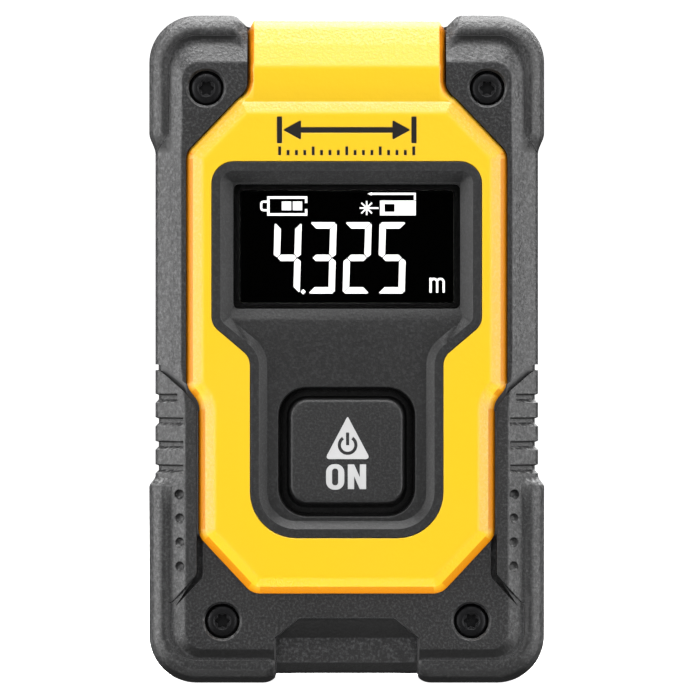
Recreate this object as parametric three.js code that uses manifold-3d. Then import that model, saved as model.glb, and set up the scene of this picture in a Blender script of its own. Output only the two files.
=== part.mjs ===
// A pocket laser distance meter, as an assembly of separate parts.
// Millimetres. +Z runs up the meter to its laser end, the display faces -Y, and +X is to the display's right.
// The origin is the middle of the footprint that the meter stands on.
import * as THREE from "three";
import { mergeVertices } from "three/addons/utils/BufferGeometryUtils.js";
import Module from "manifold-3d";

const wasm = await Module();
wasm.setup();

// ---------------------------------------------------------------- driving dimensions
const HEIGHT = 76;
const WIDTH = 45;
const DEPTH = 26;
const BUMPER_PROUD = 0.7; // how far the corner bumpers stand out of the case's sides and top
const FOOT_PROUD = 1.05; // how far they stand out below it
const BODY_HALF = WIDTH / 2 - BUMPER_PROUD;
const BODY_TOP = HEIGHT - BUMPER_PROUD;

// Depths, front to back.
const FACE_Y = -DEPTH / 2; // main face of the yellow cover, flush with the display's surround
const BAND_Y = FACE_Y + 0.75; // lower band at the cover's top
const CASE_Y = FACE_Y + 1.2; // flat of the dark case
const CORNER_Y = FACE_Y + 1.8; // its lower corners, a step deeper
const BUMPER_Y = FACE_Y + 1.9; // crest of a bumper
const VALLEY_Y = FACE_Y + 2.45; // valley between a bumper and the case's slope
const RELIEF_Y = FACE_Y + 2.8; // thumb relief over the charging port
const SKIN_Y = FACE_Y + 2.9; // back of a grip's front pad
const COVER_BACK_Y = FACE_Y + 3; // back of the yellow cover and of the display's surround
const SIDE_Y = FACE_Y + 4; // where the case's sloped edge meets its side
const FRONT_WALL_Y = FACE_Y + 4.6; // inner face of the front wall
const BOARD_FRONT_Y = FRONT_WALL_Y + 1;
const BOARD_BACK_Y = BOARD_FRONT_Y + 1;
const BOSS_SPLIT_Y = FACE_Y + 7; // where the front and rear screw bosses meet
const SEAM_Y = 7.5; // parting plane of the two housings
const BACK_WALL_Y = DEPTH / 2 - 1.6;
const BACK_Y = DEPTH / 2;

const SEAM = 0.15; // half the gap between the housings
const CLEAR = 0.12; // gap round a piece that sits in another's pocket
const TOUCH = 0.05; // gap between faces that rest on each other
const WALL = 1.5;
const CAVITY_INSET = 3.5; // from the case's outline to the inside of its walls
const GRIP_THICKNESS = 1.95;
const ARC_STEPS = 5; // straight pieces in a rounded corner
const ROUND_SIDES = 20;
const SMALLEST_RADIUS = 0.05;
const FAR = 40; // past every face, for cutting tools
const SHELL_BACK_Y = SEAM_Y - SEAM;

const CASE_SCREWS = [
  { place: "upper_left", x: -15.95, z: 67.65, flat: CASE_Y },
  { place: "upper_right", x: 15.95, z: 67.65, flat: CASE_Y },
  { place: "lower_left", x: -14.15, z: 7.1, flat: CORNER_Y },
  { place: "lower_right", x: 14.15, z: 7.1, flat: CORNER_Y },
];
const COUNTERBORE = { radius: 2, depth: 2 };
const CASE_SCREW = { headRadius: 1.8, headTop: 0.9, shankRadius: 0.85, end: 3.5, driveRadius: 0.87 };
const BOSS = { frontRadius: 2.8, rearRadius: 2.2, bore: 1, clearance: 1.15 };

const EAR_BACK_Y = -4.8; // back of the optical frame's ears, where the upper board screws bear
const BOARD_SCREWS = [
  { place: "upper_left", x: -13.2, z: 61.6, seat: EAR_BACK_Y },
  { place: "upper_right", x: 13.2, z: 61.6, seat: EAR_BACK_Y },
  { place: "lower_left", x: -14.6, z: 13.4, seat: BOARD_BACK_Y },
  { place: "lower_right", x: 14.6, z: 13.4, seat: BOARD_BACK_Y },
];
const BOARD_SCREW = { headRadius: 1.8, headHeight: 1.1, shankRadius: 0.62, driveRadius: 0.7 };
const BOARD_BOSS = { radius: 1.9, bore: 0.75, hole: 1, depth: 0.7 };

// ---------------------------------------------------------------- finishes
const plain = (color, roughness, metalness = 0) => ({ color, roughness, metalness });
const see = (color, opacity) => ({ color, roughness: 0.05, metalness: 0, transparent: true, opacity });
const FINISH = {
  yellowPlastic: plain(0xfbc91d, 0.42),
  darkPlastic: plain(0x3b3b3c, 0.62),
  rubber: plain(0x454546, 0.75),
  silicone: plain(0x2f2f30, 0.7),
  keycap: plain(0x3a3a3b, 0.66),
  blackPlastic: plain(0x101011, 0.35),
  blackSteel: plain(0x17171a, 0.4, 0.8),
  steel: plain(0xb9bcc0, 0.3, 1),
  brass: plain(0xc9a24a, 0.3, 1),
  window: see(0x101214, 0.4),
  lens: see(0xaad0e6, 0.45),
  filter: plain(0x7a1420, 0.1),
  board: plain(0x0f4a2c, 0.5),
  lcd: plain(0x050506, 0.15),
  backlight: plain(0xf2f3ee, 0.4),
  magnesium: plain(0x6d6f72, 0.5, 0.8),
  whitePlastic: plain(0xe9e6dc, 0.5),
  foil: plain(0xb8bcc4, 0.35, 0.6),
  foam: plain(0x26262a, 0.95),
  flex: plain(0xb8752a, 0.45),
  redWire: plain(0xb01818, 0.5),
  blackWire: plain(0x111112, 0.5),
  label: plain(0xb4b6b8, 0.45),
};

// ---------------------------------------------------------------- solids
function solid(geometry) {
  geometry.deleteAttribute("normal");
  geometry.deleteAttribute("uv");
  const merged = mergeVertices(geometry, 1e-4);
  const vertProperties = new Float32Array(merged.attributes.position.array);
  const triVerts = new Uint32Array(merged.index.array);
  return new wasm.Manifold(new wasm.Mesh({ numProp: 3, vertProperties, triVerts }));
}

function geometryOf(body) {
  const mesh = body.getMesh();
  const geometry = new THREE.BufferGeometry();
  geometry.setAttribute("position", new THREE.BufferAttribute(mesh.vertProperties, 3));
  geometry.setIndex(new THREE.BufferAttribute(mesh.triVerts, 1));
  geometry.computeVertexNormals();
  return geometry;
}

const join = (first, ...others) => others.reduce((sum, body) => sum.add(body), first);
const cut = (body, ...tools) => tools.reduce((rest, tool) => rest.subtract(tool), body);

function block({ x = 0, halfX, y0, y1, z0, z1 }) {
  const geometry = new THREE.BoxGeometry(2 * halfX, y1 - y0, z1 - z0);
  return solid(geometry.translate(x, (y0 + y1) / 2, (z0 + z1) / 2));
}

function rodY({ radius, y0, y1, x = 0, z, sides = ROUND_SIDES }) {
  const geometry = new THREE.CylinderGeometry(radius, radius, y1 - y0, sides);
  return solid(geometry.translate(x, (y0 + y1) / 2, z));
}

function rodZ({ radius, z0, z1, x = 0, y = 0 }) {
  const geometry = new THREE.CylinderGeometry(radius, radius, z1 - z0, ROUND_SIDES).rotateX(Math.PI / 2);
  return solid(geometry.translate(x, y, (z0 + z1) / 2));
}

// A solid of revolution about a line along Z, from [radius, z] points going up the outside.
function turned(profile, x) {
  const outline = profile.map(([radius, z]) => new THREE.Vector2(radius, z));
  return solid(new THREE.LatheGeometry(outline, ROUND_SIDES).rotateX(Math.PI / 2).translate(x, 0, 0));
}

// A prism of a side-view outline, [y, z] points, across the meter.
function prismX(sideView, halfX) {
  const across = new THREE.Matrix4().makeBasis(
    new THREE.Vector3(0, 1, 0),
    new THREE.Vector3(0, 0, 1),
    new THREE.Vector3(1, 0, 0),
  );
  const outline = new THREE.Shape(sideView.map(([y, z]) => new THREE.Vector2(y, z)));
  const geometry = new THREE.ExtrudeGeometry(outline, { depth: 2 * halfX, bevelEnabled: false });
  return solid(geometry.applyMatrix4(across).translate(-halfX, 0, 0));
}

// ---------------------------------------------------------------- outlines
// An outline is a list of [x, z, radius] corners, anticlockwise as seen from the front.
const mirror = (corners) => [...corners].reverse().map(([x, z, radius]) => [-x, z, radius]);
const symmetric = (right) => [...right, ...mirror(right)];
const bothSides = (right) => [right, mirror(right)];
function rectangle(halfX, z0, z1, radius = 0) {
  return symmetric([
    [halfX, z0, radius],
    [halfX, z1, radius],
  ]);
}

// The outline's points, moved inwards by inset, with its corners rounded.
function points(corners, inset = 0) {
  const made = [];
  corners.forEach(([x, z, radius], i) => {
    const [lastX, lastZ] = corners.at(i - 1);
    const [nextX, nextZ] = corners[(i + 1) % corners.length];
    const along = new THREE.Vector2(x - lastX, z - lastZ).normalize();
    const onward = new THREE.Vector2(nextX - x, nextZ - z).normalize();
    const inward = new THREE.Vector2(-along.y, along.x);
    const nextInward = new THREE.Vector2(-onward.y, onward.x);
    const shift = inset / (1 + inward.dot(nextInward));
    const corner = new THREE.Vector2(x, z).addScaledVector(inward.clone().add(nextInward), shift);
    if (!radius) {
      made.push(corner);
      return;
    }
    const side = Math.sign(along.cross(onward)); // 1 where the outline bulges, -1 where it is notched
    const turn = Math.acos(THREE.MathUtils.clamp(along.dot(onward), -1, 1));
    const r = Math.max(radius - side * inset, SMALLEST_RADIUS);
    const start = corner.clone().addScaledVector(along, -r * Math.tan(turn / 2));
    const centre = start.clone().addScaledVector(inward, side * r);
    for (let k = 0; k <= ARC_STEPS; k++) {
      made.push(start.clone().rotateAround(centre, (side * turn * k) / ARC_STEPS));
    }
  });
  return made;
}

// A prism of an outline between two depths.
function slab(corners, y0, y1, inset = 0) {
  const outline = new THREE.Shape(points(corners, inset));
  const geometry = new THREE.ExtrudeGeometry(outline, { depth: y1 - y0, bevelEnabled: false });
  return solid(geometry.rotateX(Math.PI / 2).translate(0, y1, 0));
}

// A skin through outlines with equal numbers of points, each [corners, inset, y], from front to back.
function loft(stations) {
  const rings = stations.map(([corners, inset]) => points(corners, inset));
  const count = rings[0].length;
  const position = rings.flatMap((ring, r) => ring.flatMap((p) => [p.x, stations[r][2], p.y]));
  const index = [];
  const last = (rings.length - 1) * count;
  for (const [a, b, c] of THREE.ShapeUtils.triangulateShape(rings[0], [])) index.push(a, b, c);
  for (const [a, b, c] of THREE.ShapeUtils.triangulateShape(rings.at(-1), [])) {
    index.push(last + a, last + c, last + b);
  }
  for (let r = 0; r < rings.length - 1; r++) {
    for (let i = 0; i < count; i++) {
      const front = r * count + i;
      const next = r * count + ((i + 1) % count);
      index.push(front, front + count, next, next, front + count, next + count);
    }
  }
  const geometry = new THREE.BufferGeometry();
  geometry.setAttribute("position", new THREE.Float32BufferAttribute(position, 3));
  geometry.setIndex(index);
  return solid(geometry);
}
const tapered = (corners, profile) => loft(profile.map(([inset, y]) => [corners, inset, y]));

// ---------------------------------------------------------------- outlines of the meter
const BODY = rectangle(BODY_HALF, FOOT_PROUD, BODY_TOP, 4.7);
const CASE_FLAT = rectangle(18.35, 3.9, 70.6, 2);
const BUMPER = rectangle(WIDTH / 2, 0, HEIGHT, 5.4);
const CREST = rectangle(20.85, 1.9, 74.25, 4);
const VALLEY = rectangle(19.85, 2.9, 72.9, 3.2);
const BUMPER_CORE = rectangle(19.9, 2.85, 72.95, 3.2);

const BAND_HALF = 11.25;
const COVER_TOP = 75.4;
const PLATEAU_TOP = 66.5;
const COVER_SIDE = [
  [10.75, 10.25, 2.2],
  [16.85, 16.8, 2.2],
  [16.85, 31.9, 1.6],
  [18.25, 33.6, 1.6],
  [18.25, 60.35, 2],
];
const COVER = symmetric([...COVER_SIDE, [BAND_HALF, 67.6, 2], [BAND_HALF, COVER_TOP, 0]]);
const PLATEAU = symmetric([...COVER_SIDE, [12.35, PLATEAU_TOP, 1]]);

const BEZEL = symmetric([
  [10.93, 16.6, 5.2],
  [10.93, 37.07, 2],
  [15.3, 40.78, 2],
  [15.3, 59.27, 2.5],
]);
const NECK_FLOOR = rectangle(9.05, 18.45, 39.2, 3.3);
const WINDOW_WELL = rectangle(14.25, 41.6, 58.1, 1.5);
const WINDOW = rectangle(12.86, 42.6, 56.7, 0.6);
const VIEW = rectangle(12.2, 43.2, 56.1, 0.5);
const BUTTON_WELL = rectangle(7.75, 19.1, 33.6, 3.1);
const BUTTON_BASE = rectangle(7.55, 19.3, 33.4, 2.9);
const BUTTON_TOP = rectangle(6.32, 20.65, 32.2, 1.9);
const BUTTON_FLANGE = rectangle(8.3, 18.5, 34.2, 3.4);
const MEMBRANE = rectangle(9.1, 17.4, 35.2, 3);
const MEMBRANE_POST = rectangle(5.4, 21, 31.8, 1.6);

// Right-hand regions, seen from the front. A grip ends in a slanted step above and a short one below.
const GRIP = [
  [FAR, 35.6, 0],
  [21, 35.6, 1.2],
  [18.45, 33.5, 0],
  [17.1, 31.7, 1.2],
  [17.1, 12.2, 0.8],
  [19.9, 9.1, 0],
  [FAR, 9.1, 0],
];
const GRIP_STEP = [
  [FAR, 36.3, 0],
  [21, 36.3, 1.2],
  [18.1, 34.3, 0],
  [15, 32, 0],
  [15, 31, 0],
  [FAR, 31, 0],
];
const UPPER_CORNER = [
  [FAR, HEIGHT + 1, 0],
  [11.4, HEIGHT + 1, 0],
  [11.4, 70, 0],
  [17, 60.3, 0],
  [21.75, 60.3, 0],
  [22.45, 62.3, 0],
  [FAR, 62.3, 0],
];
const LOWER_CORNER = [
  [FAR, 22.3, 0],
  [22.45, 22.3, 0],
  [21.75, 23.5, 0],
  [15, 23.5, 0],
  [15, 14, 0],
  [8.2, 8, 0],
  [8.2, FOOT_PROUD, 0],
  [9.6, -0.2, 0],
  [FAR, -0.2, 0],
];
const RELIEF = symmetric([
  [8.2, -4, 0],
  [8.2, 4.9, 0.8],
  [5.6, 7.35, 0.8],
]);

const GROOVES = { top: 32.5, pitch: 2.73, count: 8, long: 4, half: 0.3, depth: 0.45 };
const LABEL = rectangle(13, 22, 56, 1.6);
const LABEL_RECESS = 0.35;

// Laser end.
const RECEIVER_X = 3.2;
const LASER_X = -5.6;
const END_OPENING = { halfX: 9.3, y0: -6.3, y1: 6.3, z0: 70, z1: 2 * FAR };

// Charging port in the lower end, with the hinge line of its rubber cover.
const PORT_HINGE = { y: 1.38, z: FOOT_PROUD + 0.5 };
const PORT_POCKET = { halfX: 7.1, y0: -8.6, y1: 4.4, z0: -1, z1: FOOT_PROUD + 1 };
const PORT_MOUTH = { halfX: 4.8, y0: -7.9, y1: -2.5, z0: -1, z1: 6 };
const TETHER_SLOT = { halfX: 2.2, y0: 2.1, y1: 3.7, z0: -1, z1: 6 };

const meter = new THREE.Group();
function part(name, body, finish) {
  const mesh = new THREE.Mesh(geometryOf(body), new THREE.MeshStandardMaterial(finish));
  mesh.name = name;
  meter.add(mesh);
}

// ---------------------------------------------------------------- bumpers and grips
const caseForm = () =>
  loft([
    [CASE_FLAT, 0, CASE_Y],
    [BODY, 0, SIDE_Y],
    [BODY, 0, SHELL_BACK_Y],
  ]);
const bumperForm = () =>
  loft([
    [VALLEY, 0, VALLEY_Y],
    [CREST, 0, BUMPER_Y],
    [BUMPER, 0.55, BUMPER_Y + 0.9],
    [BUMPER, 0, SIDE_Y - 0.2],
    [BUMPER, 0, SHELL_BACK_Y],
  ]);
const throughout = (corners, inset = 0) => slab(corners, FACE_Y - 1, FAR, inset);

const bumper = (corner) => cut(bumperForm().intersect(throughout(corner)), throughout(BUMPER_CORE));

// Grooves across a grip: the upper ones run on round the case's side, the lower ones are short.
function gripGrooves(side) {
  const floor = loft([
    [CASE_FLAT, GROOVES.depth, CASE_Y + GROOVES.depth],
    [BODY, GROOVES.depth, SIDE_Y + GROOVES.depth],
    [BODY, GROOVES.depth, FAR],
  ]);
  const tools = [];
  for (let i = 0; i < GROOVES.count; i++) {
    const z = GROOVES.top - i * GROOVES.pitch;
    const inner = i === 0 ? 19.2 : 18.55;
    const outer = i < GROOVES.long ? FAR : 19.4;
    tools.push(
      block({
        x: (side * (inner + outer)) / 2,
        halfX: (outer - inner) / 2,
        y0: FACE_Y,
        y1: i < GROOVES.long ? FAR : SIDE_Y,
        z0: z - GROOVES.half,
        z1: z + GROOVES.half,
      }).subtract(floor),
    );
  }
  return tools;
}

function grip(side, region, corner) {
  const core = slab(BODY, SKIN_Y, FAR, GRIP_THICKNESS);
  const pad = cut(caseForm().intersect(throughout(region)), core, ...gripGrooves(side));
  return pad.add(bumper(corner));
}

part("upper_right_bumper", bumper(UPPER_CORNER), FINISH.rubber);
part("upper_left_bumper", bumper(mirror(UPPER_CORNER)), FINISH.rubber);
part("right_grip", grip(1, GRIP, LOWER_CORNER), FINISH.rubber);
part("left_grip", grip(-1, mirror(GRIP), mirror(LOWER_CORNER)), FINISH.rubber);

// ---------------------------------------------------------------- housings
// What the rubber takes out of the front housing.
function rubberPockets() {
  const bumperCore = throughout(BUMPER_CORE, CLEAR);
  const gripCore = slab(BODY, SKIN_Y + CLEAR, FAR, GRIP_THICKNESS + CLEAR);
  return [
    ...[...bothSides(UPPER_CORNER), ...bothSides(LOWER_CORNER)].map((corner) =>
      throughout(corner, -CLEAR).subtract(bumperCore),
    ),
    ...bothSides(GRIP).map((region) => throughout(region, -CLEAR).subtract(gripCore)),
    ...bothSides(GRIP_STEP).map((region) => throughout(region).subtract(gripCore)),
  ];
}

// The front of the cover's band, in side view, with its back moved by gap.
const bandBack = (gap) => [
  [SHELL_BACK_Y + gap, COVER_TOP - WALL - gap],
  [COVER_BACK_Y + 1.7 + gap, COVER_TOP - WALL - gap],
  [COVER_BACK_Y + gap, 71.5 - gap],
  [COVER_BACK_Y + gap, PLATEAU_TOP - 2],
];

function coverPockets() {
  const band = [...bandBack(TOUCH), [FACE_Y - 1, PLATEAU_TOP - 2], [FACE_Y - 1, FAR * 2], [FAR, FAR * 2]];
  const behindBand = [FAR, COVER_TOP - WALL - TOUCH];
  return [
    slab(PLATEAU, FACE_Y - 1, COVER_BACK_Y + TOUCH, -CLEAR),
    slab(COVER, FACE_Y - 1, COVER_BACK_Y + TOUCH, -CLEAR).intersect(
      block({ halfX: FAR, y0: -FAR, y1: FAR, z0: 0, z1: 71.5 }),
    ),
    prismX([...band, behindBand], BAND_HALF + CLEAR),
  ];
}

function frontHousing() {
  let body = cut(
    caseForm(),
    slab(BODY, FRONT_WALL_Y, FAR, CAVITY_INSET),
    ...rubberPockets(),
    ...coverPockets(),
    block({ halfX: FAR, y0: -FAR, y1: CORNER_Y, z0: 0, z1: 17 }),
    tapered(RELIEF, [
      [0, FACE_Y - 1],
      [0, CORNER_Y],
      [1.1, RELIEF_Y],
    ]),
  );
  for (const { x, z, flat } of CASE_SCREWS) {
    const floor = flat + COUNTERBORE.depth;
    body = body.add(rodY({ radius: BOSS.frontRadius, y0: floor, y1: BOSS_SPLIT_Y, x, z }));
    body = body.subtract(rodY({ radius: COUNTERBORE.radius, y0: FACE_Y, y1: floor, x, z }));
    body = body.subtract(rodY({ radius: BOSS.clearance, y0: FACE_Y, y1: 0, x, z }));
  }
  for (const { x, z } of BOARD_SCREWS) {
    const boreEnd = FRONT_WALL_Y - BOARD_BOSS.depth;
    body = body.add(rodY({ radius: BOARD_BOSS.radius, y0: boreEnd, y1: BOARD_FRONT_Y - TOUCH, x, z }));
    body = body.subtract(rodY({ radius: BOARD_BOSS.bore, y0: boreEnd, y1: 0, x, z }));
  }
  return cut(
    body,
    slab(rectangle(14.6, 40.4, 58.8, 0.2), FACE_Y, BOARD_FRONT_Y),
    slab(MEMBRANE_POST, FACE_Y, BOARD_FRONT_Y, -0.6),
    slab(MEMBRANE, FACE_Y, COVER_BACK_Y + 0.65, -0.2),
    block(END_OPENING),
    block(PORT_POCKET),
    block(PORT_MOUTH),
    block(TETHER_SLOT),
  );
}
part("front_housing", frontHousing(), FINISH.darkPlastic);

function rearHousing() {
  const edgeY = BACK_Y - 2.7;
  const shell = loft([
    [BODY, 0, SEAM_Y + SEAM],
    [BODY, 0, edgeY],
    [BODY, 2.3, BACK_Y],
  ]);
  const bumpers = loft([
    [BUMPER, 0, SEAM_Y + SEAM],
    [BUMPER, 0, edgeY],
    [BUMPER, 2.4, BACK_Y],
  ]);
  const corners = [...bothSides(UPPER_CORNER), ...bothSides(LOWER_CORNER)];
  let body = join(shell, ...corners.map((corner) => bumpers.intersect(throughout(corner))));
  body = body.subtract(slab(BODY, 0, BACK_WALL_Y, CAVITY_INSET));
  // A lip that enters the front housing.
  const lip = slab(BODY, SEAM_Y - 1.3, BACK_WALL_Y + 0.1, CAVITY_INSET + CLEAR);
  body = body.add(lip.subtract(slab(BODY, 0, FAR, CAVITY_INSET + CLEAR + 1)));
  for (const { x, z } of CASE_SCREWS) {
    const boss = { radius: BOSS.rearRadius, y0: BOSS_SPLIT_Y + TOUCH, y1: BACK_WALL_Y + 0.1, x, z };
    body = body.add(rodY(boss));
    body = body.subtract(rodY({ radius: BOSS.bore, y0: -FAR, y1: CASE_SCREW.end + 0.5, x, z }));
  }
  for (const x of BATTERY_RIBS.x) body = body.add(block({ ...BATTERY_RIBS, x }));
  return body.subtract(slab(LABEL, BACK_Y - LABEL_RECESS, FAR));
}
const BATTERY_RIBS = { x: [-9, 0, 9], halfX: 0.5, y0: 5.3, y1: BACK_WALL_Y + 0.1, z0: 18, z1: 44 };
part("rear_housing", rearHousing(), FINISH.darkPlastic);
part("rear_label", slab(LABEL, BACK_Y - LABEL_RECESS + TOUCH, BACK_Y - TOUCH, CLEAR), FINISH.label);

// ---------------------------------------------------------------- yellow cover
function frontCover() {
  const plateau = tapered(PLATEAU, [
    [1.85, FACE_Y],
    [0.75, FACE_Y + 0.65],
    [0, CASE_Y],
    [0, COVER_BACK_Y],
  ]);
  const hollow = slab(PLATEAU, FACE_Y + WALL, FAR, WALL);
  const shoulder = slab(COVER, BAND_Y, COVER_BACK_Y).intersect(
    block({ halfX: FAR, y0: -FAR, y1: FAR, z0: PLATEAU_TOP - 2, z1: 70 }),
  );
  const band = prismX(
    [
      ...bandBack(0).reverse(),
      [SHELL_BACK_Y, COVER_TOP],
      [COVER_BACK_Y + 1.1, COVER_TOP],
      [BAND_Y, 70.8],
      [BAND_Y, PLATEAU_TOP - 2],
    ],
    BAND_HALF,
  );
  return cut(join(plateau.subtract(hollow), shoulder, band), throughout(BEZEL, -CLEAR), block(END_OPENING));
}
part("yellow_front_cover", frontCover(), FINISH.yellowPlastic);

// ---------------------------------------------------------------- display and button
const NECK_FLOOR_Y = FACE_Y + 0.8;
const WINDOW_Y = FACE_Y + 1.3;
const WINDOW_BACK_Y = WINDOW_Y + 0.8;
const BUTTON_FLANGE_Y = FACE_Y + 1.95;
const BUTTON_BACK_Y = BUTTON_FLANGE_Y + 0.5;

function displayBezel() {
  return cut(
    slab(BEZEL, FACE_Y, COVER_BACK_Y),
    tapered(NECK_FLOOR, [
      [-1.2, FACE_Y - 0.2],
      [0, NECK_FLOOR_Y],
    ]),
    tapered(WINDOW_WELL, [
      [-0.2, FACE_Y - 0.2],
      [1.1, WINDOW_Y],
    ]),
    slab(WINDOW, FACE_Y, WINDOW_BACK_Y + TOUCH, -CLEAR),
    throughout(VIEW),
    throughout(BUTTON_WELL),
    slab(BUTTON_FLANGE, BUTTON_FLANGE_Y - TOUCH, FAR, -CLEAR),
  );
}
part("display_bezel", displayBezel(), FINISH.darkPlastic);
part("display_window", slab(WINDOW, WINDOW_Y, WINDOW_BACK_Y), FINISH.window);

function powerButton() {
  const cap = loft([
    [BUTTON_TOP, 0.25, FACE_Y + 0.4],
    [BUTTON_TOP, 0, FACE_Y + 0.55],
    [BUTTON_BASE, 0, FACE_Y + 1.25],
    [BUTTON_BASE, 0, BUTTON_BACK_Y],
  ]);
  return cap.add(slab(BUTTON_FLANGE, BUTTON_FLANGE_Y, BUTTON_BACK_Y));
}
part("power_button", powerButton(), FINISH.keycap);

const MEMBRANE_Y = { post: BUTTON_BACK_Y + TOUCH, sheet: COVER_BACK_Y + 0.1, back: COVER_BACK_Y + 0.55, end: -9.15 };
function buttonMembrane() {
  const sheet = slab(MEMBRANE, MEMBRANE_Y.sheet, MEMBRANE_Y.back);
  return sheet.add(slab(MEMBRANE_POST, MEMBRANE_Y.post, MEMBRANE_Y.end));
}
part("button_membrane", buttonMembrane(), FINISH.silicone);

const SWITCH = { halfX: 2.3, y0: -8.7, y1: BOARD_FRONT_Y - TOUCH, z0: 24.1, z1: 28.7 };
const SWITCH_AXIS_Z = (SWITCH.z0 + SWITCH.z1) / 2;
const PLUNGER = { radius: 1, y0: MEMBRANE_Y.end + TOUCH, y1: -8.2, z: SWITCH_AXIS_Z };
part(
  "switch_body",
  block(SWITCH).subtract(rodY({ radius: 1.15, y0: FACE_Y, y1: SWITCH.y1 - 0.15, z: SWITCH_AXIS_Z })),
  FINISH.blackPlastic,
);
part("switch_plunger", rodY(PLUNGER), FINISH.whitePlastic);

// ---------------------------------------------------------------- display module
const LCD_FRAME = { halfX: 14.4, y0: COVER_BACK_Y + 0.1, y1: BOARD_FRONT_Y - 0.1, z0: 40.6, z1: 58.6 };
const LCD_GLASS = { halfX: 12, y0: -10.8, y1: -8.8, z0: 43.4, z1: 55.9 }; // reaches up behind the window
const BACKLIGHT = { halfX: 13.6, y0: LCD_GLASS.y1 + TOUCH, y1: LCD_FRAME.y1 - 0.45, z0: 41.4, z1: 57.8 };
const LCD_TRAY = { halfX: 13.7, y0: -FAR, y1: BACKLIGHT.y1 + TOUCH, z0: 41.3, z1: 57.9 };
part("lcd_frame", block(LCD_FRAME).subtract(block(LCD_TRAY)), FINISH.blackPlastic);
part("lcd_glass", block(LCD_GLASS), FINISH.lcd);
part("lcd_backlight", block(BACKLIGHT), FINISH.backlight);

// A flat strip that leaves the display's lower edge and bends down to lie on the board.
const FLEX = { halfX: 5, sheet: 0.2, free: FRONT_WALL_Y + 0.1, bend: 38.1, z0: 35, z1: LCD_FRAME.z0 - 0.1 };
function flexCable() {
  const back = BOARD_FRONT_Y - TOUCH;
  const drop = 1.6; // height over which it crosses from the display to the board
  return prismX(
    [
      [back - FLEX.sheet, FLEX.z0],
      [back, FLEX.z0],
      [back, FLEX.bend],
      [FLEX.free + FLEX.sheet, FLEX.bend + drop],
      [FLEX.free + FLEX.sheet, FLEX.z1],
      [FLEX.free, FLEX.z1],
      [FLEX.free, FLEX.bend + drop],
      [back - FLEX.sheet, FLEX.bend],
    ],
    FLEX.halfX,
  );
}
part("lcd_flex_cable", flexCable(), FINISH.flex);

// ---------------------------------------------------------------- circuit board
const BOARD = symmetric([
  [7.5, 5, 0],
  [7.5, 11, 0],
  [16.8, 11, 1],
  [16.8, 63.5, 1],
]);
function circuitBoard() {
  const holes = BOARD_SCREWS.map(({ x, z }) => rodY({ radius: BOARD_BOSS.hole, y0: -FAR, y1: 0, x, z }));
  return cut(slab(BOARD, BOARD_FRONT_Y, BOARD_BACK_Y), ...holes);
}
part("main_circuit_board", circuitBoard(), FINISH.board);

const ON_BOARD_Y = BOARD_BACK_Y + TOUCH;
const onBoard = (x, halfX, height, z0, z1) => ({ x, halfX, y0: ON_BOARD_Y, y1: ON_BOARD_Y + height, z0, z1 });
part("microcontroller", block(onBoard(-6, 3.5, 1, 22, 29)), FINISH.blackPlastic);

const SHIELD = onBoard(4, 6.5, 1.8, 32, 44);
const SHIELD_SHEET = 0.25;
function shieldCan() {
  const { x, halfX, y0, y1, z0, z1 } = SHIELD;
  const inside = {
    x,
    halfX: halfX - SHIELD_SHEET,
    y0: y0 - 1,
    y1: y1 - SHIELD_SHEET,
    z0: z0 + SHIELD_SHEET,
    z1: z1 - SHIELD_SHEET,
  };
  return block(SHIELD).subtract(block(inside));
}
part("rf_shield_can", shieldCan(), FINISH.steel);

const USB = { halfX: 4.45, y0: ON_BOARD_Y, y1: ON_BOARD_Y + 3.2, z0: 2.55, z1: 9.9 };
const USB_SHEET = 0.3;
function usbSocket() {
  const mouth = {
    halfX: USB.halfX - USB_SHEET,
    y0: USB.y0 + USB_SHEET,
    y1: USB.y1 - USB_SHEET,
    z0: 0,
    z1: USB.z1 - 1.2,
  };
  const middle = (USB.y0 + USB.y1) / 2;
  const tongue = { halfX: 3.3, y0: middle - 0.35, y1: middle + 0.35, z0: USB.z0 + 0.6, z1: USB.z1 - 1 };
  return block(USB).subtract(block(mouth)).add(block(tongue));
}
part("usb_socket", usbSocket(), FINISH.steel);

// ---------------------------------------------------------------- battery
const BATTERY = { halfX: 14, y0: -1.2, y1: 4.6, z0: 16, z1: 46 };
const FOAM = { halfX: 11, y0: BATTERY.y1 + TOUCH, y1: BATTERY_RIBS.y0 - TOUCH, z0: 18, z1: 44 };
const CONNECTOR = onBoard(12, 2.4, 3, 49, 52.6);
part("battery_cell", slab(rectangle(BATTERY.halfX, BATTERY.z0, BATTERY.z1, 1.2), BATTERY.y0, BATTERY.y1), FINISH.foil);
part("battery_foam_pad", block(FOAM), FINISH.foam);
part("battery_connector", block(CONNECTOR), FINISH.whitePlastic);

// A wire from the cell's top edge to the connector, bowed on its way.
const WIRE_RADIUS = 0.45;
function batteryLead(x) {
  const gap = 0.1;
  const straight = 1; // at each end, square to the piece that it meets
  const inConnector = (CONNECTOR.y0 + CONNECTOR.y1) / 2;
  const outOfCell = 1;
  const route = new THREE.CatmullRomCurve3([
    new THREE.Vector3(x, outOfCell, BATTERY.z1 + gap),
    new THREE.Vector3(x, outOfCell, BATTERY.z1 + gap + straight),
    new THREE.Vector3(x, inConnector, CONNECTOR.z0 - gap - straight),
    new THREE.Vector3(x, inConnector, CONNECTOR.z0 - gap),
  ]);
  const section = new THREE.Shape().absarc(0, 0, WIRE_RADIUS, 0, 2 * Math.PI);
  return solid(new THREE.ExtrudeGeometry(section, { extrudePath: route, steps: 12, curveSegments: 4 }));
}
part("battery_lead_red", batteryLead(11), FINISH.redWire);
part("battery_lead_black", batteryLead(13), FINISH.blackWire);

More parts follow.
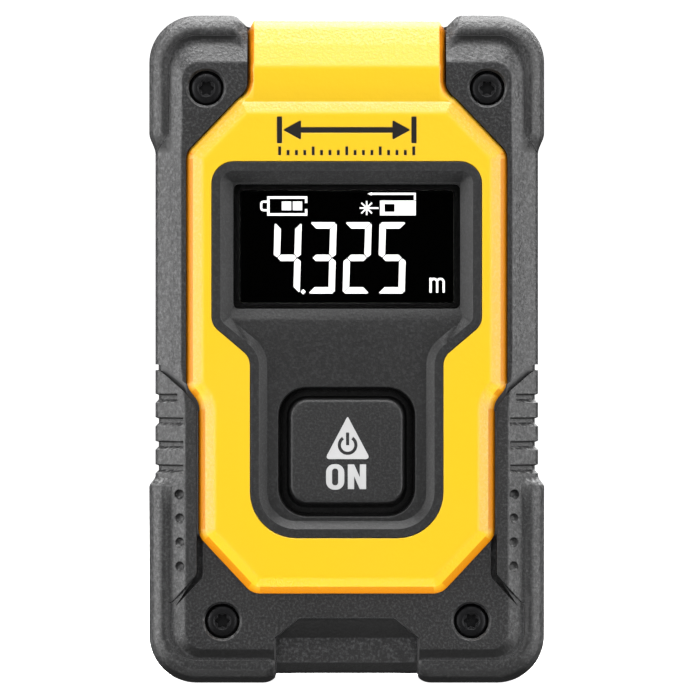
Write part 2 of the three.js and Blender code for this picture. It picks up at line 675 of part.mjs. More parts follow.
// ---------------------------------------------------------------- optics
const FRAME_TOP = 72.6;
const FRAME_FOOT = 49.5;
const LENS_SEAT = 69.4;
const EAR = { halfX: 14.9, y0: BOARD_BACK_Y + TOUCH, y1: EAR_BACK_Y, z0: 59.6, z1: 63.6 };
function opticalFrame() {
  const receiver = turned(
    [
      [0, FRAME_FOOT],
      [3.4, FRAME_FOOT],
      [3.4, 52],
      [5.8, 66],
      [5.8, FRAME_TOP],
      [0, FRAME_TOP],
    ],
    RECEIVER_X,
  );
  const laser = rodZ({ radius: 3.5, z0: 51, z1: FRAME_TOP, x: LASER_X });
  const spine = block({ halfX: 8.8, y0: -5.2, y1: -2.5, z0: 56, z1: 72 });
  const tunnel = turned(
    [
      [0, FRAME_FOOT - 1],
      [2.35, FRAME_FOOT - 1],
      [2.35, 53.2],
      [4.6, LENS_SEAT],
      [5.15, LENS_SEAT],
      [5.15, FRAME_TOP + 1],
      [0, FRAME_TOP + 1],
    ],
    RECEIVER_X,
  );
  const holes = BOARD_SCREWS.map(({ x, z }) => rodY({ radius: BOARD_BOSS.hole, y0: -FAR, y1: 0, x, z }));
  const bore = rodZ({ radius: 3, z0: 50, z1: FRAME_TOP + 1, x: LASER_X });
  return cut(join(receiver, laser, spine, block(EAR)), tunnel, bore, ...holes);
}
part("optical_frame", opticalFrame(), FINISH.magnesium);

const BARREL = { outer: 2.9, inner: 2.3, z0: 52, z1: 71.5 };
function laserBarrel() {
  const outside = rodZ({ radius: BARREL.outer, z0: BARREL.z0, z1: BARREL.z1, x: LASER_X });
  return outside.subtract(rodZ({ radius: BARREL.inner, z0: BARREL.z0 - 1, z1: BARREL.z1 + 1, x: LASER_X }));
}
part("laser_barrel", laserBarrel(), FINISH.brass);

// A lens with a flat back and a domed front.
function lens(radius, edge, dome, z0, x) {
  const bulge = [1, 0.75, 0.5, 0.25, 0].map((share) => [radius * share, z0 + edge + dome * (1 - share * share)]);
  return turned([[0, z0], [radius, z0], ...bulge], x);
}
part("laser_lens", lens(2.2, 0.8, 0.5, 69.4, LASER_X), FINISH.lens);
part("receiver_lens", lens(5.05, 1, 1.6, LENS_SEAT + TOUCH, RECEIVER_X), FINISH.lens);

function laserDiode() {
  const flange = rodZ({ radius: 2.2, z0: BARREL.z0 + 0.2, z1: BARREL.z0 + 1.4, x: LASER_X });
  return flange.add(rodZ({ radius: 1.6, z0: BARREL.z0 + 1.3, z1: BARREL.z0 + 4, x: LASER_X }));
}
part("laser_diode", laserDiode(), FINISH.brass);
part("receiver_filter", rodZ({ radius: 2.25, z0: 51, z1: 52, x: RECEIVER_X }), FINISH.filter);

const RECEIVER_BOARD = { x: RECEIVER_X, halfX: 5.2, y0: -5.5, y1: 5.5, z0: 48.3, z1: FRAME_FOOT - TOUCH };
const PHOTODIODE = { x: RECEIVER_X, halfX: 1.2, y0: -1.2, y1: 1.2, z0: FRAME_FOOT, z1: FRAME_FOOT + 0.8 };
part("receiver_board", block(RECEIVER_BOARD), FINISH.board);
part("photodiode", block(PHOTODIODE), FINISH.blackPlastic);

const FACEPLATE = { halfX: 9.1, y0: -6.1, y1: 6.1, z0: 72.9, z1: 75.2 };
const PANE = { halfX: 8.2, y0: -5.2, y1: 5.2, z0: 74.35, z1: 75 };
const PANE_POCKET = { halfX: 8.3, y0: -5.3, y1: 5.3, z0: 74.3, z1: HEIGHT };
function opticsFaceplate() {
  return cut(
    block(FACEPLATE),
    block(PANE_POCKET),
    rodZ({ radius: 5, z0: 0, z1: HEIGHT, x: RECEIVER_X }),
    rodZ({ radius: 2.1, z0: 0, z1: HEIGHT, x: LASER_X }),
  );
}
part("optics_faceplate", opticsFaceplate(), FINISH.blackPlastic);
part("optics_window", block(PANE), FINISH.window);

// ---------------------------------------------------------------- charging port cover
function portCover() {
  const flap = { halfX: 6.95, y0: -8.45, y1: PORT_HINGE.y - 0.08, z0: FOOT_PROUD + 0.05, z1: FOOT_PROUD + 0.95 };
  const plug = { halfX: 4.5, y0: -7.6, y1: -2.8, z0: flap.z1 - 0.1, z1: USB.z0 - 0.1 };
  return block(flap).add(block(plug));
}
part("port_cover", portCover(), FINISH.rubber);

// The strap that ties the cover to the case: its stem passes through the wall to a head inside.
function portTether() {
  const strap = { halfX: 2, y0: PORT_HINGE.y, y1: 3.5, z0: FOOT_PROUD + 0.1, z1: FOOT_PROUD + 0.9 };
  const stem = { halfX: 2, y0: 2.25, y1: 3.55, z0: FOOT_PROUD + 0.1, z1: 5 };
  const head = { halfX: 3, y0: 1.6, y1: 4.2, z0: 4.7, z1: 5.5 };
  return join(block(strap), block(stem), block(head));
}
part("port_cover_tether", portTether(), FINISH.rubber);

// ---------------------------------------------------------------- screws
function screw({ radius, headY, seatY, shankRadius, endY, driveRadius, x, z }) {
  const head = rodY({ radius, y0: Math.min(headY, seatY), y1: Math.max(headY, seatY), x, z });
  const shank = rodY({ radius: shankRadius, y0: Math.min(seatY, endY), y1: Math.max(seatY, endY), x, z });
  const driveDepth = 0.6;
  const drive = rodY({ radius: driveRadius, y0: headY - driveDepth, y1: headY + driveDepth, x, z, sides: 6 });
  return head.add(shank).subtract(drive);
}
for (const { place, x, z, flat } of CASE_SCREWS) {
  const body = screw({
    radius: CASE_SCREW.headRadius,
    headY: flat + CASE_SCREW.headTop,
    seatY: flat + COUNTERBORE.depth - TOUCH,
    shankRadius: CASE_SCREW.shankRadius,
    endY: CASE_SCREW.end,
    driveRadius: CASE_SCREW.driveRadius,
    x,
    z,
  });
  part(`case_screw_${place}`, body, FINISH.blackSteel);
}
for (const { place, x, z, seat } of BOARD_SCREWS) {
  const body = screw({
    radius: BOARD_SCREW.headRadius,
    headY: seat + TOUCH + BOARD_SCREW.headHeight,
    seatY: seat + TOUCH,
    shankRadius: BOARD_SCREW.shankRadius,
    endY: FRONT_WALL_Y - BOARD_BOSS.depth + 0.1,
    driveRadius: BOARD_SCREW.driveRadius,
    x,
    z,
  });
  part(`board_screw_${place}`, body, FINISH.steel);
}

export default meter;
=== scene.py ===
"""The looks of a pocket laser distance meter: its visible pieces, finishes, light and camera.

Shapes are made in millimetres in the CAD model's frame, and scaled to metres once they are done.
+Z runs up the meter to its laser end, and the display faces -Y.
"""

import math

import bmesh
import bpy
from mathutils import Matrix, Vector


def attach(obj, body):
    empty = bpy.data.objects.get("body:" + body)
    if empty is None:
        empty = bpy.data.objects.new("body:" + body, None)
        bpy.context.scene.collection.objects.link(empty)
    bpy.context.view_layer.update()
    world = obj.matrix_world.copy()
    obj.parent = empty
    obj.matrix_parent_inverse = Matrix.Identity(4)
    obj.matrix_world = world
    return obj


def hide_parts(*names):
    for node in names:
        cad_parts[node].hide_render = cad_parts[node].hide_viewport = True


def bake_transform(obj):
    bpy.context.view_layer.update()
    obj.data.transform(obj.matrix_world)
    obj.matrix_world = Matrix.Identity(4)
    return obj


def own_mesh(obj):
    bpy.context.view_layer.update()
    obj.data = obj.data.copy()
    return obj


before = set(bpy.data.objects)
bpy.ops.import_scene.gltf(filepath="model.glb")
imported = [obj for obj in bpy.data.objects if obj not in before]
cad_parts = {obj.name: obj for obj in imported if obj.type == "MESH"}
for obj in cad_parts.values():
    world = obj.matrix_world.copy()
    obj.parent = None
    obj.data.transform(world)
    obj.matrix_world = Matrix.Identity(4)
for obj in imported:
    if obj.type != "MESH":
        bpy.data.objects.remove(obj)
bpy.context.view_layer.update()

MM = 0.001
FAR = 40.0  # past every face, for cutting tools
AHEAD_Y = -15  # ahead of every face, for cutting tools
CORNER_STEPS = 10  # straight pieces in a rounded corner
FILLET_STEPS = 5  # straight pieces in a softened ridge of the case
GAP = 0.05  # seam between two touching pieces

# Depths, front to back.
FACE_Y = -13.0
BAND_Y = -12.2
CASE_Y = -11.8
CORNER_Y = -11.2
COVER_BACK_Y = -10.0
SKIN_Y = -9.5
FRONT_WALL_Y = -8.4
SEAM_Y = 7.5
SEAM_FRONT_Y = SEAM_Y - 0.12
SEAM_BACK_Y = SEAM_Y + 0.12
BACK_WALL_Y = 11.4
BACK_Y = 13.0

# Seen from the front. A rounded rectangle is (half width, lower z, upper z, corner radius).
BODY = (21.8, 1.05, 75.3, 4.7)
BUMPER = (22.5, 0.0, 76.0, 5.4)
FLAT = (18.35, 3.9, 70.6, 2.0)
FLAT_INSIDE = (17.9, 4.35, 70.15, 1.6)


# ------------ outlines
def mirror(corners):
    return [(-x, z, radius) for x, z, radius in reversed(corners)]


def symmetric(right):
    return [*right, *mirror(right)]


def rectangle(half, z0, z1, radius=0.0):
    return symmetric([(half, z0, radius), (half, z1, radius)])


def outline_between(x0, x1, z0, z1, radius=0.0):
    """A rounded rectangle away from the middle line."""
    return [(x1, z0, radius), (x1, z1, radius), (x0, z1, radius), (x0, z0, radius)]


def plate(half, y0, y1, radius):
    """A rounded rectangle seen from an end, as [x, y, radius] corners."""
    return [(half, y0, radius), (half, y1, radius), (-half, y1, radius), (-half, y0, radius)]


def rounded(corners, inset=0.0, steps=CORNER_STEPS):
    """The points of an anticlockwise outline, moved inwards by inset, with its corners rounded."""
    made = []
    for i, (x, z, radius) in enumerate(corners):
        last = corners[i - 1]
        after = corners[(i + 1) % len(corners)]
        along = Vector((x - last[0], z - last[1])).normalized()
        onward = Vector((after[0] - x, after[1] - z)).normalized()
        inward = Vector((-along.y, along.x))
        next_inward = Vector((-onward.y, onward.x))
        corner = Vector((x, z)) + (inward + next_inward) * (inset / (1 + inward.dot(next_inward)))
        if not radius:
            made.append(corner)
            continue
        cross = along.x * onward.y - along.y * onward.x
        side = 1 if cross > 0 else -1
        turn = math.acos(max(-1.0, min(1.0, along.dot(onward))))
        reach = max(radius - side * inset, 0.05)
        start = corner - along * (reach * math.tan(turn / 2))
        centre = start + inward * (side * reach)
        for k in range(steps + 1):
            made.append(centre + Matrix.Rotation(side * turn * k / steps, 2) @ (start - centre))
    return made


def circle(radius, x=0.0, z=0.0, sides=40):
    turn = 2 * math.pi / sides
    return [Vector((x + radius * math.cos(turn * k), z + radius * math.sin(turn * k))) for k in range(sides)]


def soften(path, steps=FILLET_STEPS):
    """A path of (point, radius) stops, with each inner stop rounded to a fixed number of points."""
    made = [path[0][0]]
    for (before, _), (corner, radius), (after, _) in zip(path, path[1:], path[2:]):
        back = before - corner
        forth = after - corner
        turn = math.pi - back.angle(forth)
        reach = max(0.004, min(radius * math.tan(turn / 2), 0.47 * back.length, 0.47 * forth.length))
        start = corner + back.normalized() * reach
        end = corner + forth.normalized() * reach
        for k in range(steps + 1):
            t = k / steps
            made.append(start.lerp(corner, t).lerp(corner.lerp(end, t), t))
    made.append(path[-1][0])
    return made


# ------------ solids
def solid(points, faces):
    mesh = bpy.data.meshes.new("shape")
    mesh.from_pydata([tuple(p) for p in points], [], faces)
    work = bmesh.new()
    work.from_mesh(mesh)
    bmesh.ops.recalc_face_normals(work, faces=work.faces)
    work.to_mesh(mesh)
    work.free()
    body = bpy.data.objects.new("shape", mesh)
    bpy.context.scene.collection.objects.link(body)
    return body


def loft(rings):
    """A closed skin through rings of equal numbers of points, capped at both ends."""
    count = len(rings[0])
    points = [p for ring in rings for p in ring]
    last = len(points) - count
    faces = [tuple(range(count)), tuple(range(last, last + count))]
    for r in range(len(rings) - 1):
        for i in range(count):
            a = r * count + i
            b = r * count + (i + 1) % count
            faces.append((a, b, b + count, a + count))
    return solid(points, faces)


def ring_at(outline, y):
    return [(p.x, y, p.y) for p in outline]


def tapered(corners, profile, steps=CORNER_STEPS):
    """A skin that follows an outline, from (inset, y) stops."""
    return loft([ring_at(rounded(corners, inset, steps), y) for inset, y in profile])


def slab(corners, y0, y1, inset=0.0):
    return tapered(corners, [(inset, y0), (inset, y1)])


def turned(x, z, stops):
    """A round solid about a line along Y, from (radius, y) stops."""
    return loft([ring_at(circle(radius, x, z), y) for radius, y in stops])


def column(corners, profile):
    """A skin along Z, for an outline seen from an end, from (inset, z) stops."""
    return loft([[(p.x, p.y, z) for p in rounded(corners, inset)] for inset, z in profile])


def across(sections):
    """A skin along X, from (x, side view) sections with [y, z] points."""
    return loft([[(x, p[0], p[1]) for p in side_view] for x, side_view in sections])


def block(x0, x1, y0, y1, z0, z1):
    return across([(x, [(y0, z0), (y1, z0), (y1, z1), (y0, z1)]) for x in (x0, x1)])


def bake(body):
    """Turns a body's modifiers into mesh."""
    shapes = bpy.context.evaluated_depsgraph_get()
    baked = bpy.data.meshes.new_from_object(body.evaluated_get(shapes))
    body.modifiers.clear()
    body.data = baked
    return body


def combine(body, operation, tools):
    for tool in tools:
        step = body.modifiers.new("combine", "BOOLEAN")
        step.operation = operation
        step.solver = "EXACT"
        step.object = tool
    bake(body)
    for tool in tools:
        bpy.data.objects.remove(tool)
    return body


def cut(body, *tools):
    return combine(body, "DIFFERENCE", tools)


def join(body, *tools):
    return combine(body, "UNION", tools)


def keep(body, tool):
    return combine(body, "INTERSECT", [tool])


def from_bmesh(work):
    """A new object from a bmesh, which is used up."""
    mesh = bpy.data.meshes.new("shape")
    work.to_mesh(mesh)
    work.free()
    made = bpy.data.objects.new("shape", mesh)
    bpy.context.scene.collection.objects.link(made)
    return made


def merged(bodies):
    """Separate shapes as one mesh."""
    work = bmesh.new()
    for body in bodies:
        work.from_mesh(body.data)
        bpy.data.objects.remove(body)
    return from_bmesh(work)


def piece(shape, name, look, nodes=(), body="case", crease=32):
    """Scales a shape to metres, smooths it, gives it its finish and hangs it on its CAD body."""
    mesh = shape.data
    mesh.transform(Matrix.Scale(MM, 4))
    shape.name = name
    mesh.name = name
    mesh.materials.clear()
    mesh.materials.append(look)
    mesh.shade_smooth()
    mesh.set_sharp_from_angle(angle=math.radians(crease))
    weighted = shape.modifiers.new("weighted", "WEIGHTED_NORMAL")
    weighted.keep_sharp = True
    if body:
        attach(shape, body)
    if nodes:
        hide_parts(*nodes)
    return shape


# ------------ finishes
def set_inputs(node, values):
    for name, value in values.items():
        node.inputs[name].default_value = value


class Finish:
    """A procedural material under construction."""

    def __init__(self, name, colour, roughness, metallic=0.0, specular=0.5):
        self.material = bpy.data.materials.new(name)
        self.material.use_nodes = True
        self.tree = self.material.node_tree
        self.shader = self.tree.nodes["Principled BSDF"]
        self.colour = (*colour, 1.0)
        self.roughness = roughness
        plain = {"Base Color": self.colour, "Roughness": roughness}
        set_inputs(self.shader, {**plain, "Metallic": metallic, "Specular IOR Level": specular})
        self.place = self.node("ShaderNodeTexCoord").outputs["Object"]
        self.normal = None
        self.colour_out = None

    def node(self, kind, inputs=None, **settings):
        made = self.tree.nodes.new(kind)
        for key, value in settings.items():
            setattr(made, key, value)
        set_inputs(made, inputs or {})
        return made

    def link(self, output, target):
        self.tree.links.new(output, target)

    def noise(self, size, detail=3.0, rough=0.5, stretch=(1, 1, 1)):
        """Noise with features of about the given size in millimetres."""
        mapping = self.node("ShaderNodeMapping", {"Scale": stretch})
        self.link(self.place, mapping.inputs["Vector"])
        inputs = {"Scale": 0.5 / (size * MM), "Detail": detail, "Roughness": rough}
        made = self.node("ShaderNodeTexNoise", inputs)
        self.link(mapping.outputs["Vector"], made.inputs["Vector"])
        return made.outputs["Fac"]

    def ranged(self, value, low, high, to_low, to_high):
        inputs = {"From Min": low, "From Max": high, "To Min": to_low, "To Max": to_high}
        made = self.node("ShaderNodeMapRange", inputs)
        self.link(value, made.inputs["Value"])
        return made.outputs["Result"]

    def times(self, a, b):
        made = self.node("ShaderNodeMath", operation="MULTIPLY")
        self.link(a, made.inputs[0])
        self.link(b, made.inputs[1])
        return made.outputs["Value"]

    def tint(self, factor, colour):
        """Mixes another colour into the surface."""
        made = self.node("ShaderNodeMix", data_type="RGBA")
        self.link(factor, made.inputs["Factor"])
        if self.colour_out:
            self.link(self.colour_out, made.inputs["A"])
        else:
            made.inputs["A"].default_value = self.colour
        made.inputs["B"].default_value = (*colour, 1.0)
        self.colour_out = made.outputs["Result"]
        self.link(self.colour_out, self.shader.inputs["Base Color"])

    def mottle(self, size, share):
        """Slow changes of colour and gloss, as moulded parts have."""
        cloud = self.noise(size, 2.0)
        darker = tuple(c * (1 - share) for c in self.colour[:3])
        self.tint(self.ranged(cloud, 0.35, 0.65, 0, 1), darker)
        gloss = self.ranged(cloud, 0.3, 0.7, self.roughness - 0.04, self.roughness + 0.04)
        self.link(gloss, self.shader.inputs["Roughness"])

    def painted_glints(self, size, colour, amount, where=None):
        """Fine pale points painted into the colour: painted glints where the moulded texture catches light.
        """
        dots = self.ranged(self.noise(size, 2.0, 0.7), 0.46, 0.72, 0, amount)
        if where:
            dots = self.times(dots, where)
        self.tint(dots, colour)

    def bend(self, made):
        """Shades the surface with a node's normal."""
        self.normal = made.outputs["Normal"]
        self.link(self.normal, self.shader.inputs["Normal"])

    def round_edges(self, radius):
        """Softens hard edges by a radius in millimetres, in shading only."""
        self.bend(self.node("ShaderNodeBevel", {"Radius": radius * MM}, samples=4))

    def painted_edge_highlight(self, radius, amount, colour):
        """A paler line along the ridges: a painted highlight where the edges catch light."""
        soft = self.node("ShaderNodeBevel", {"Radius": radius * MM}, samples=4)
        true = self.node("ShaderNodeNewGeometry").outputs["Normal"]
        dot = self.node("ShaderNodeVectorMath", operation="DOT_PRODUCT")
        self.link(soft.outputs["Normal"], dot.inputs[0])
        self.link(true, dot.inputs[1])
        self.tint(self.ranged(dot.outputs["Value"], 0.998, 0.93, 0, amount), colour)

    def painted_corner_shade(self, reach):
        """Painted shade in recesses, over a reach in millimetres: darker colour and less gloss where shade
        would fall.
        """
        inputs = {"Distance": reach * MM}
        made = self.node("ShaderNodeAmbientOcclusion", inputs, samples=8, only_local=False)
        self.tint(self.ranged(made.outputs["AO"], 0.95, 0.55, 0, 0.9), (0.001, 0.001, 0.001))
        gloss = self.ranged(made.outputs["AO"], 0.55, 0.95, 0.12, 0.5)
        self.link(gloss, self.shader.inputs["Specular IOR Level"])

    def facing(self, axis):
        """How far the surface looks along one axis, from -1 to 1."""
        parts = self.node("ShaderNodeSeparateXYZ")
        self.link(self.node("ShaderNodeNewGeometry").outputs["Normal"], parts.inputs["Vector"])
        return parts.outputs[axis]

    def slope(self, flat, steep):
        """0 on faces that look forwards or back, 1 on the case's sloped edges and sides."""
        depth = self.node("ShaderNodeMath", operation="ABSOLUTE")
        self.link(self.facing("Y"), depth.inputs[0])
        return self.ranged(depth.outputs["Value"], flat, steep, 0, 1)

    def rough_slope(self):
        """The slopes with the coarse texture: all but those that look down."""
        return self.times(self.slope(0.99, 0.84), self.ranged(self.facing("Z"), -0.3, -0.08, 0, 1))

    def grain(self, size, depth, where=None, detail=3.0, rough=0.55, stretch=(1, 1, 1)):
        """A fine moulded texture with features of a size and depth in millimetres."""
        height = self.noise(size, detail, rough, stretch)
        if where:
            height = self.times(height, where)
        made = self.node("ShaderNodeBump", {"Strength": 1.0, "Distance": depth * MM})
        self.link(height, made.inputs["Height"])
        if self.normal:
            self.link(self.normal, made.inputs["Normal"])
        self.bend(made)


def yellow_look():
    look = Finish("yellow_plastic", (0.62, 0.394, 0.0085), 0.34, specular=0.5)
    look.mottle(9, 0.02)
    look.tint(look.rough_slope(), (0.5, 0.295, 0.012))
    # Painted glints on the textured slopes.
    look.painted_glints(0.16, (0.6, 0.42, 0.2), 0.35, look.rough_slope())
    # Painted shade: steep side walls that don't look up are a darker orange, with less gloss.
    steep = look.times(look.slope(0.76, 0.6), look.ranged(look.facing("Z"), 0.35, 0.6, 1, 0))
    look.tint(steep, (0.46, 0.145, 0.003))
    look.link(look.ranged(steep, 0, 1, 0.5, 0.15), look.shader.inputs["Specular IOR Level"])
    look.round_edges(0.2)
    look.grain(0.3, 0.02, detail=2)
    look.grain(0.16, 0.05, look.slope(0.985, 0.93), detail=2)
    return look.material


def dark_look(name="dark_plastic", colour=(0.009, 0.009, 0.0093), roughness=0.42, coarse=0.12, shaded=0):
    look = Finish(name, colour, roughness, specular=0.5)
    look.mottle(7, 0.12)
    # Painted glints: pale points all over, and more on the textured slopes.
    look.painted_glints(0.14, tuple(7 * c for c in colour), 0.65)
    if coarse:
        look.painted_glints(0.22, (0.11, 0.11, 0.112), 0.55, look.rough_slope())
        # Painted shade: faces that look down are darker.
        look.tint(look.ranged(look.facing("Z"), -0.08, -0.22, 0, 0.9), (0.001, 0.001, 0.001))
    # Painted highlight: a paler line along the ridges.
    look.painted_edge_highlight(0.14, 0.35, (0.06, 0.06, 0.062))
    # Painted shade: darker and less glossy in recesses.
    if shaded:
        look.painted_corner_shade(shaded)
    look.round_edges(0.08)
    look.grain(0.14, 0.045, detail=2)
    if coarse:
        look.grain(0.24, coarse, look.rough_slope(), detail=2)
    return look.material


def rubber_look(name="bumper_rubber", painted_facing_light=False):
    look = Finish(name, (0.0095, 0.0095, 0.0098), 0.45, specular=0.5)
    look.mottle(6, 0.12)
    # Painted glints: pale points all over, and more on the textured slopes.
    look.painted_glints(0.14, (0.062, 0.062, 0.063), 0.6)
    look.painted_glints(0.22, (0.11, 0.11, 0.112), 0.5, look.rough_slope())
    if painted_facing_light:
        # Painted highlight on faces that look up, and painted shade on faces that look down.
        look.painted_glints(0.2, (0.28, 0.28, 0.28), 0.7, look.ranged(look.facing("Z"), 0.35, 0.55, 0, 1))
        look.tint(look.ranged(look.facing("Z"), -0.4, -0.7, 0, 0.9), (0.002, 0.002, 0.002))
    look.round_edges(0.12)
    look.grain(0.14, 0.045, detail=2)
    look.grain(0.24, 0.12, look.rough_slope(), detail=2)
    return look.material


def smooth_dark_look(name, colour, roughness, grain=0.008, specular=0.5):
    look = Finish(name, colour, roughness, specular=specular)
    look.mottle(5, 0.1)
    look.round_edges(0.08)
    look.grain(0.2, grain, detail=2)
    return look.material


def steel_look(name, colour, roughness, brushed=(1, 1, 12)):
    look = Finish(name, colour, roughness, metallic=1.0)
    look.mottle(2, 0.15)
    look.round_edges(0.05)
    look.grain(0.1, 0.003, stretch=brushed)
    return look.material


def black_oxide_look():
    look = Finish("black_steel", (0.035, 0.035, 0.037), 0.3, metallic=0.8)
    look.mottle(0.8, 0.3)
    look.round_edges(0.06)
    look.grain(0.12, 0.006)
    return look.material


def clear_look(name, colour, alpha, roughness=0.04, specular=0.5):
    look = Finish(name, colour, roughness, specular=specular)
    look.mottle(4, 0.05)
    look.shader.inputs["Alpha"].default_value = alpha
    return look.material


def glass_look():
    look = Finish("lens_glass", (0.85, 0.93, 1.0), 0.03)
    look.mottle(3, 0.04)
    set_inputs(look.shader, {"Transmission Weight": 1.0, "IOR": 1.52})
    set_inputs(look.shader, {"Coat Weight": 0.4, "Coat Tint": (0.6, 0.5, 1.0, 1.0)})
    return look.material


def lit_look():
    look = Finish("display_segments", (0.9, 0.9, 0.9), 0.5)
    look.mottle(1.5, 0.04)
    look.shader.inputs["Emission Color"].default_value = (1.0, 1.0, 1.0, 1.0)
    look.shader.inputs["Emission Strength"].default_value = 1.0
    return look.material


def coloured_look(name, colour, roughness, metallic=0.0, grain=0.01, size=0.3):
    look = Finish(name, colour, roughness, metallic)
    look.mottle(2.5, 0.12)
    look.round_edges(0.06)
    look.grain(size, grain)
    return look.material


YELLOW = yellow_look()
DARK = dark_look()
BEZEL_DARK = dark_look("bezel_plastic", (0.004, 0.004, 0.0042), 0.48, coarse=0, shaded=4)
RUBBER = rubber_look()
GRIP_RUBBER = rubber_look("grip_rubber", painted_facing_light=True)
SMOOTH_DARK = smooth_dark_look("groove_floor", (0.03, 0.03, 0.031), 0.42)
KEY_RUBBER = dark_look("keycap", (0.006, 0.006, 0.0062), 0.48, coarse=0, shaded=1.4)
BLACK = smooth_dark_look("black_plastic", (0.006, 0.006, 0.0065), 0.32)
INK = smooth_dark_look("black_inlay", (0.007, 0.006, 0.005), 0.5, specular=0.25)
PRINT = coloured_look("white_print", (0.43, 0.43, 0.43), 0.55, grain=0.004)
PANEL = smooth_dark_look("display_panel", (0.0003, 0.0003, 0.0003), 0.6, 0.0, specular=0.0)
LIT = lit_look()
PANE = clear_look("window", (0.0, 0.0, 0.0), 0.10, specular=0.2)
DARK_PANE = clear_look("optics_pane", (0.01, 0.004, 0.006), 0.35)
OXIDE = black_oxide_look()
GLASS = glass_look()
LABEL = coloured_look("label", (0.42, 0.43, 0.44), 0.42, metallic=0.4, grain=0.004)
SILICONE = coloured_look("silicone", (0.02, 0.02, 0.021), 0.6)


# ------------ the case's outer form
# Stops from the front flat outwards and back: a rounded rectangle, its depth,
# and how soft the ridge there is.
FRONT_BODY = [
    (FLAT_INSIDE, CASE_Y, 0),
    (FLAT, CASE_Y, 0.4),
    ((19.2, 3.2, 71.8, 2.8), -11.04, 0.5),
    ((20.2, 2.5, 72.9, 3.5), -10.3, 0.5),
    ((21.5, 1.35, 74.9, 4.45), -9.2, 0.6),
    (BODY, -8.5, 0.8),
    (BODY, SEAM_FRONT_Y, 0),
]
FRONT_BUMPER = [
    (FLAT_INSIDE, CASE_Y, 0),
    (FLAT, CASE_Y, 1.0),
    ((19.85, 2.9, 72.85, 3.3), -10.5, 1.2),
    ((21.05, 1.75, 74.4, 4.2), -10.86, 1.2),
    ((21.95, 0.65, 75.45, 5.0), -10.1, 1.4),
    (BUMPER, -8.9, 1.5),
    (BUMPER, SEAM_FRONT_Y, 0),
]
REAR_BODY = [
    (BODY, SEAM_BACK_Y, 0),
    (BODY, 10.0, 0.6),
    ((21.2, 1.65, 74.7, 4.2), 10.9, 0.5),
    ((20.7, 2.15, 74.2, 3.8), 11.5, 0.5),
    ((20.1, 2.75, 73.6, 3.3), 12.2, 0.5),
    ((19.4, 3.45, 72.9, 2.8), BACK_Y, 0.5),
    ((19.0, 3.85, 72.5, 2.4), BACK_Y, 0),
]
REAR_BUMPER = [
    (BUMPER, SEAM_BACK_Y, 0),
    (BUMPER, 10.6, 1.0),
    ((21.6, 0.9, 75.1, 4.7), 12.55, 0.7),
    ((20.8, 1.9, 74.1, 4.0), 12.0, 0.4),
    ((20.2, 2.7, 73.3, 3.4), 12.0, 0.4),
    ((19.4, 3.45, 72.9, 2.8), BACK_Y, 0.5),
    ((19.0, 3.85, 72.5, 2.4), BACK_Y, 0),
]
LOW_END = 17.0  # below it the front flat steps down to CORNER_Y
SMOOTHER_FOOT = (0, 0, -0.4, -0.1, 0, 0, 0)  # how far the foot's stops come forward
RIDGE_STOPS = (2, 3)  # the stops of a bumper's hollow and ridge
RIDGE_STARTS = (23.6, 60.2)  # where a bumper's hollow and ridge start, over RIDGE_FADE
RIDGE_FADE = 4.2
WIDER = 0.5  # how much wider the front flat is above the grips
WIDER_PLAIN = (1, 1, 0.7, 0, 0, 0, 0)  # the share of it at each stop of the plain case
WIDER_BUMPER = (1, 0.8, 0.2, 0, 0, 0, 0)  # and of a bumper
WIDER_FROM = 31.0
WIDER_TO = 36.2


def ease(share):
    return share * share * (3 - 2 * share)


def bulge(share):
    """Rises like a quarter of a circle."""
    return math.sqrt(1 - (1 - share) ** 2)


def right_stations():
    """Places up the right side: (edge, how far along it, how much of a bumper there is)."""
    fades = 10
    arcs = 16
    made = [("foot", x, 0.0) for x in (0.0, 2.5, 5.0, 7.6)]
    made += [("foot", 8.0 + 1.6 * k / fades, bulge(k / fades)) for k in range(fades + 1)]
    made += [("foot", x, 1.0) for x in (11.0, 13.0, 15.0)]
    made += [("low corner", -90 + 90 * k / arcs, 1.0) for k in range(arcs + 1)]
    made += [("side", z, 1.0) for z in (8.0, 12.0, LOW_END - 0.01, LOW_END + 0.01, 20.0)]
    made += [("side", 22.3 + 1.3 * k / fades, ease(1 - k / fades)) for k in range(fades + 1)]
    made += [("side", z, 0.0) for z in (28.0, WIDER_FROM, 33.6, WIDER_TO, 42.0, 50.0, 57.0)]
    made += [("side", 60.2 + 2.4 * k / fades, ease(k / fades)) for k in range(fades + 1)]
    made += [("side", 66.0, 1.0)]
    made += [("high corner", 90 * k / arcs, 1.0) for k in range(arcs + 1)]
    made += [("top", 15.0, 1.0)]
    made += [("top", 13.2 - 2.2 * k / fades, ease(1 - k / fades)) for k in range(fades + 1)]
    made += [("top", x, 0.0) for x in (8.0, 4.0, 0.0)]
    return made


def on_rectangle(rect, edge, value):
    half, z0, z1, radius = rect
    if edge == "foot":
        return Vector((value, z0))
    if edge == "top":
        return Vector((value, z1))
    if edge == "side":
        return Vector((half, value))
    turn = math.radians(value)
    middle = z0 + radius if edge == "low corner" else z1 - radius
    return Vector((half - radius + radius * math.cos(turn), middle + radius * math.sin(turn)))


def shrink(rect, inset):
    half, z0, z1, radius = rect
    return (half - inset, z0 + inset, z1 - inset, max(radius - inset, 0.3))


def wider_flat(edge, value):
    """How far the front flat's side edge moves out at one place round the case."""
    if edge == "high corner":
        return WIDER
    if edge == "side":
        return WIDER * min(max((value - WIDER_FROM) / (WIDER_TO - WIDER_FROM), 0), 1)
    return 0


def smoother_foot(edge, value):
    """How much of the foot's smoothing there is at one place round the case."""
    if edge == "foot":
        return 1
    if edge == "low corner":
        return -value / 90
    return 0


def ridge_share(edge, value, share):
    """How much of a bumper's hollow and ridge there is: they fade more slowly than its outline."""
    if edge != "side":
        return share
    past = max(RIDGE_STARTS[0] - value, value - RIDGE_STARTS[1], 0)
    return ease(min(past / RIDGE_FADE, 1))


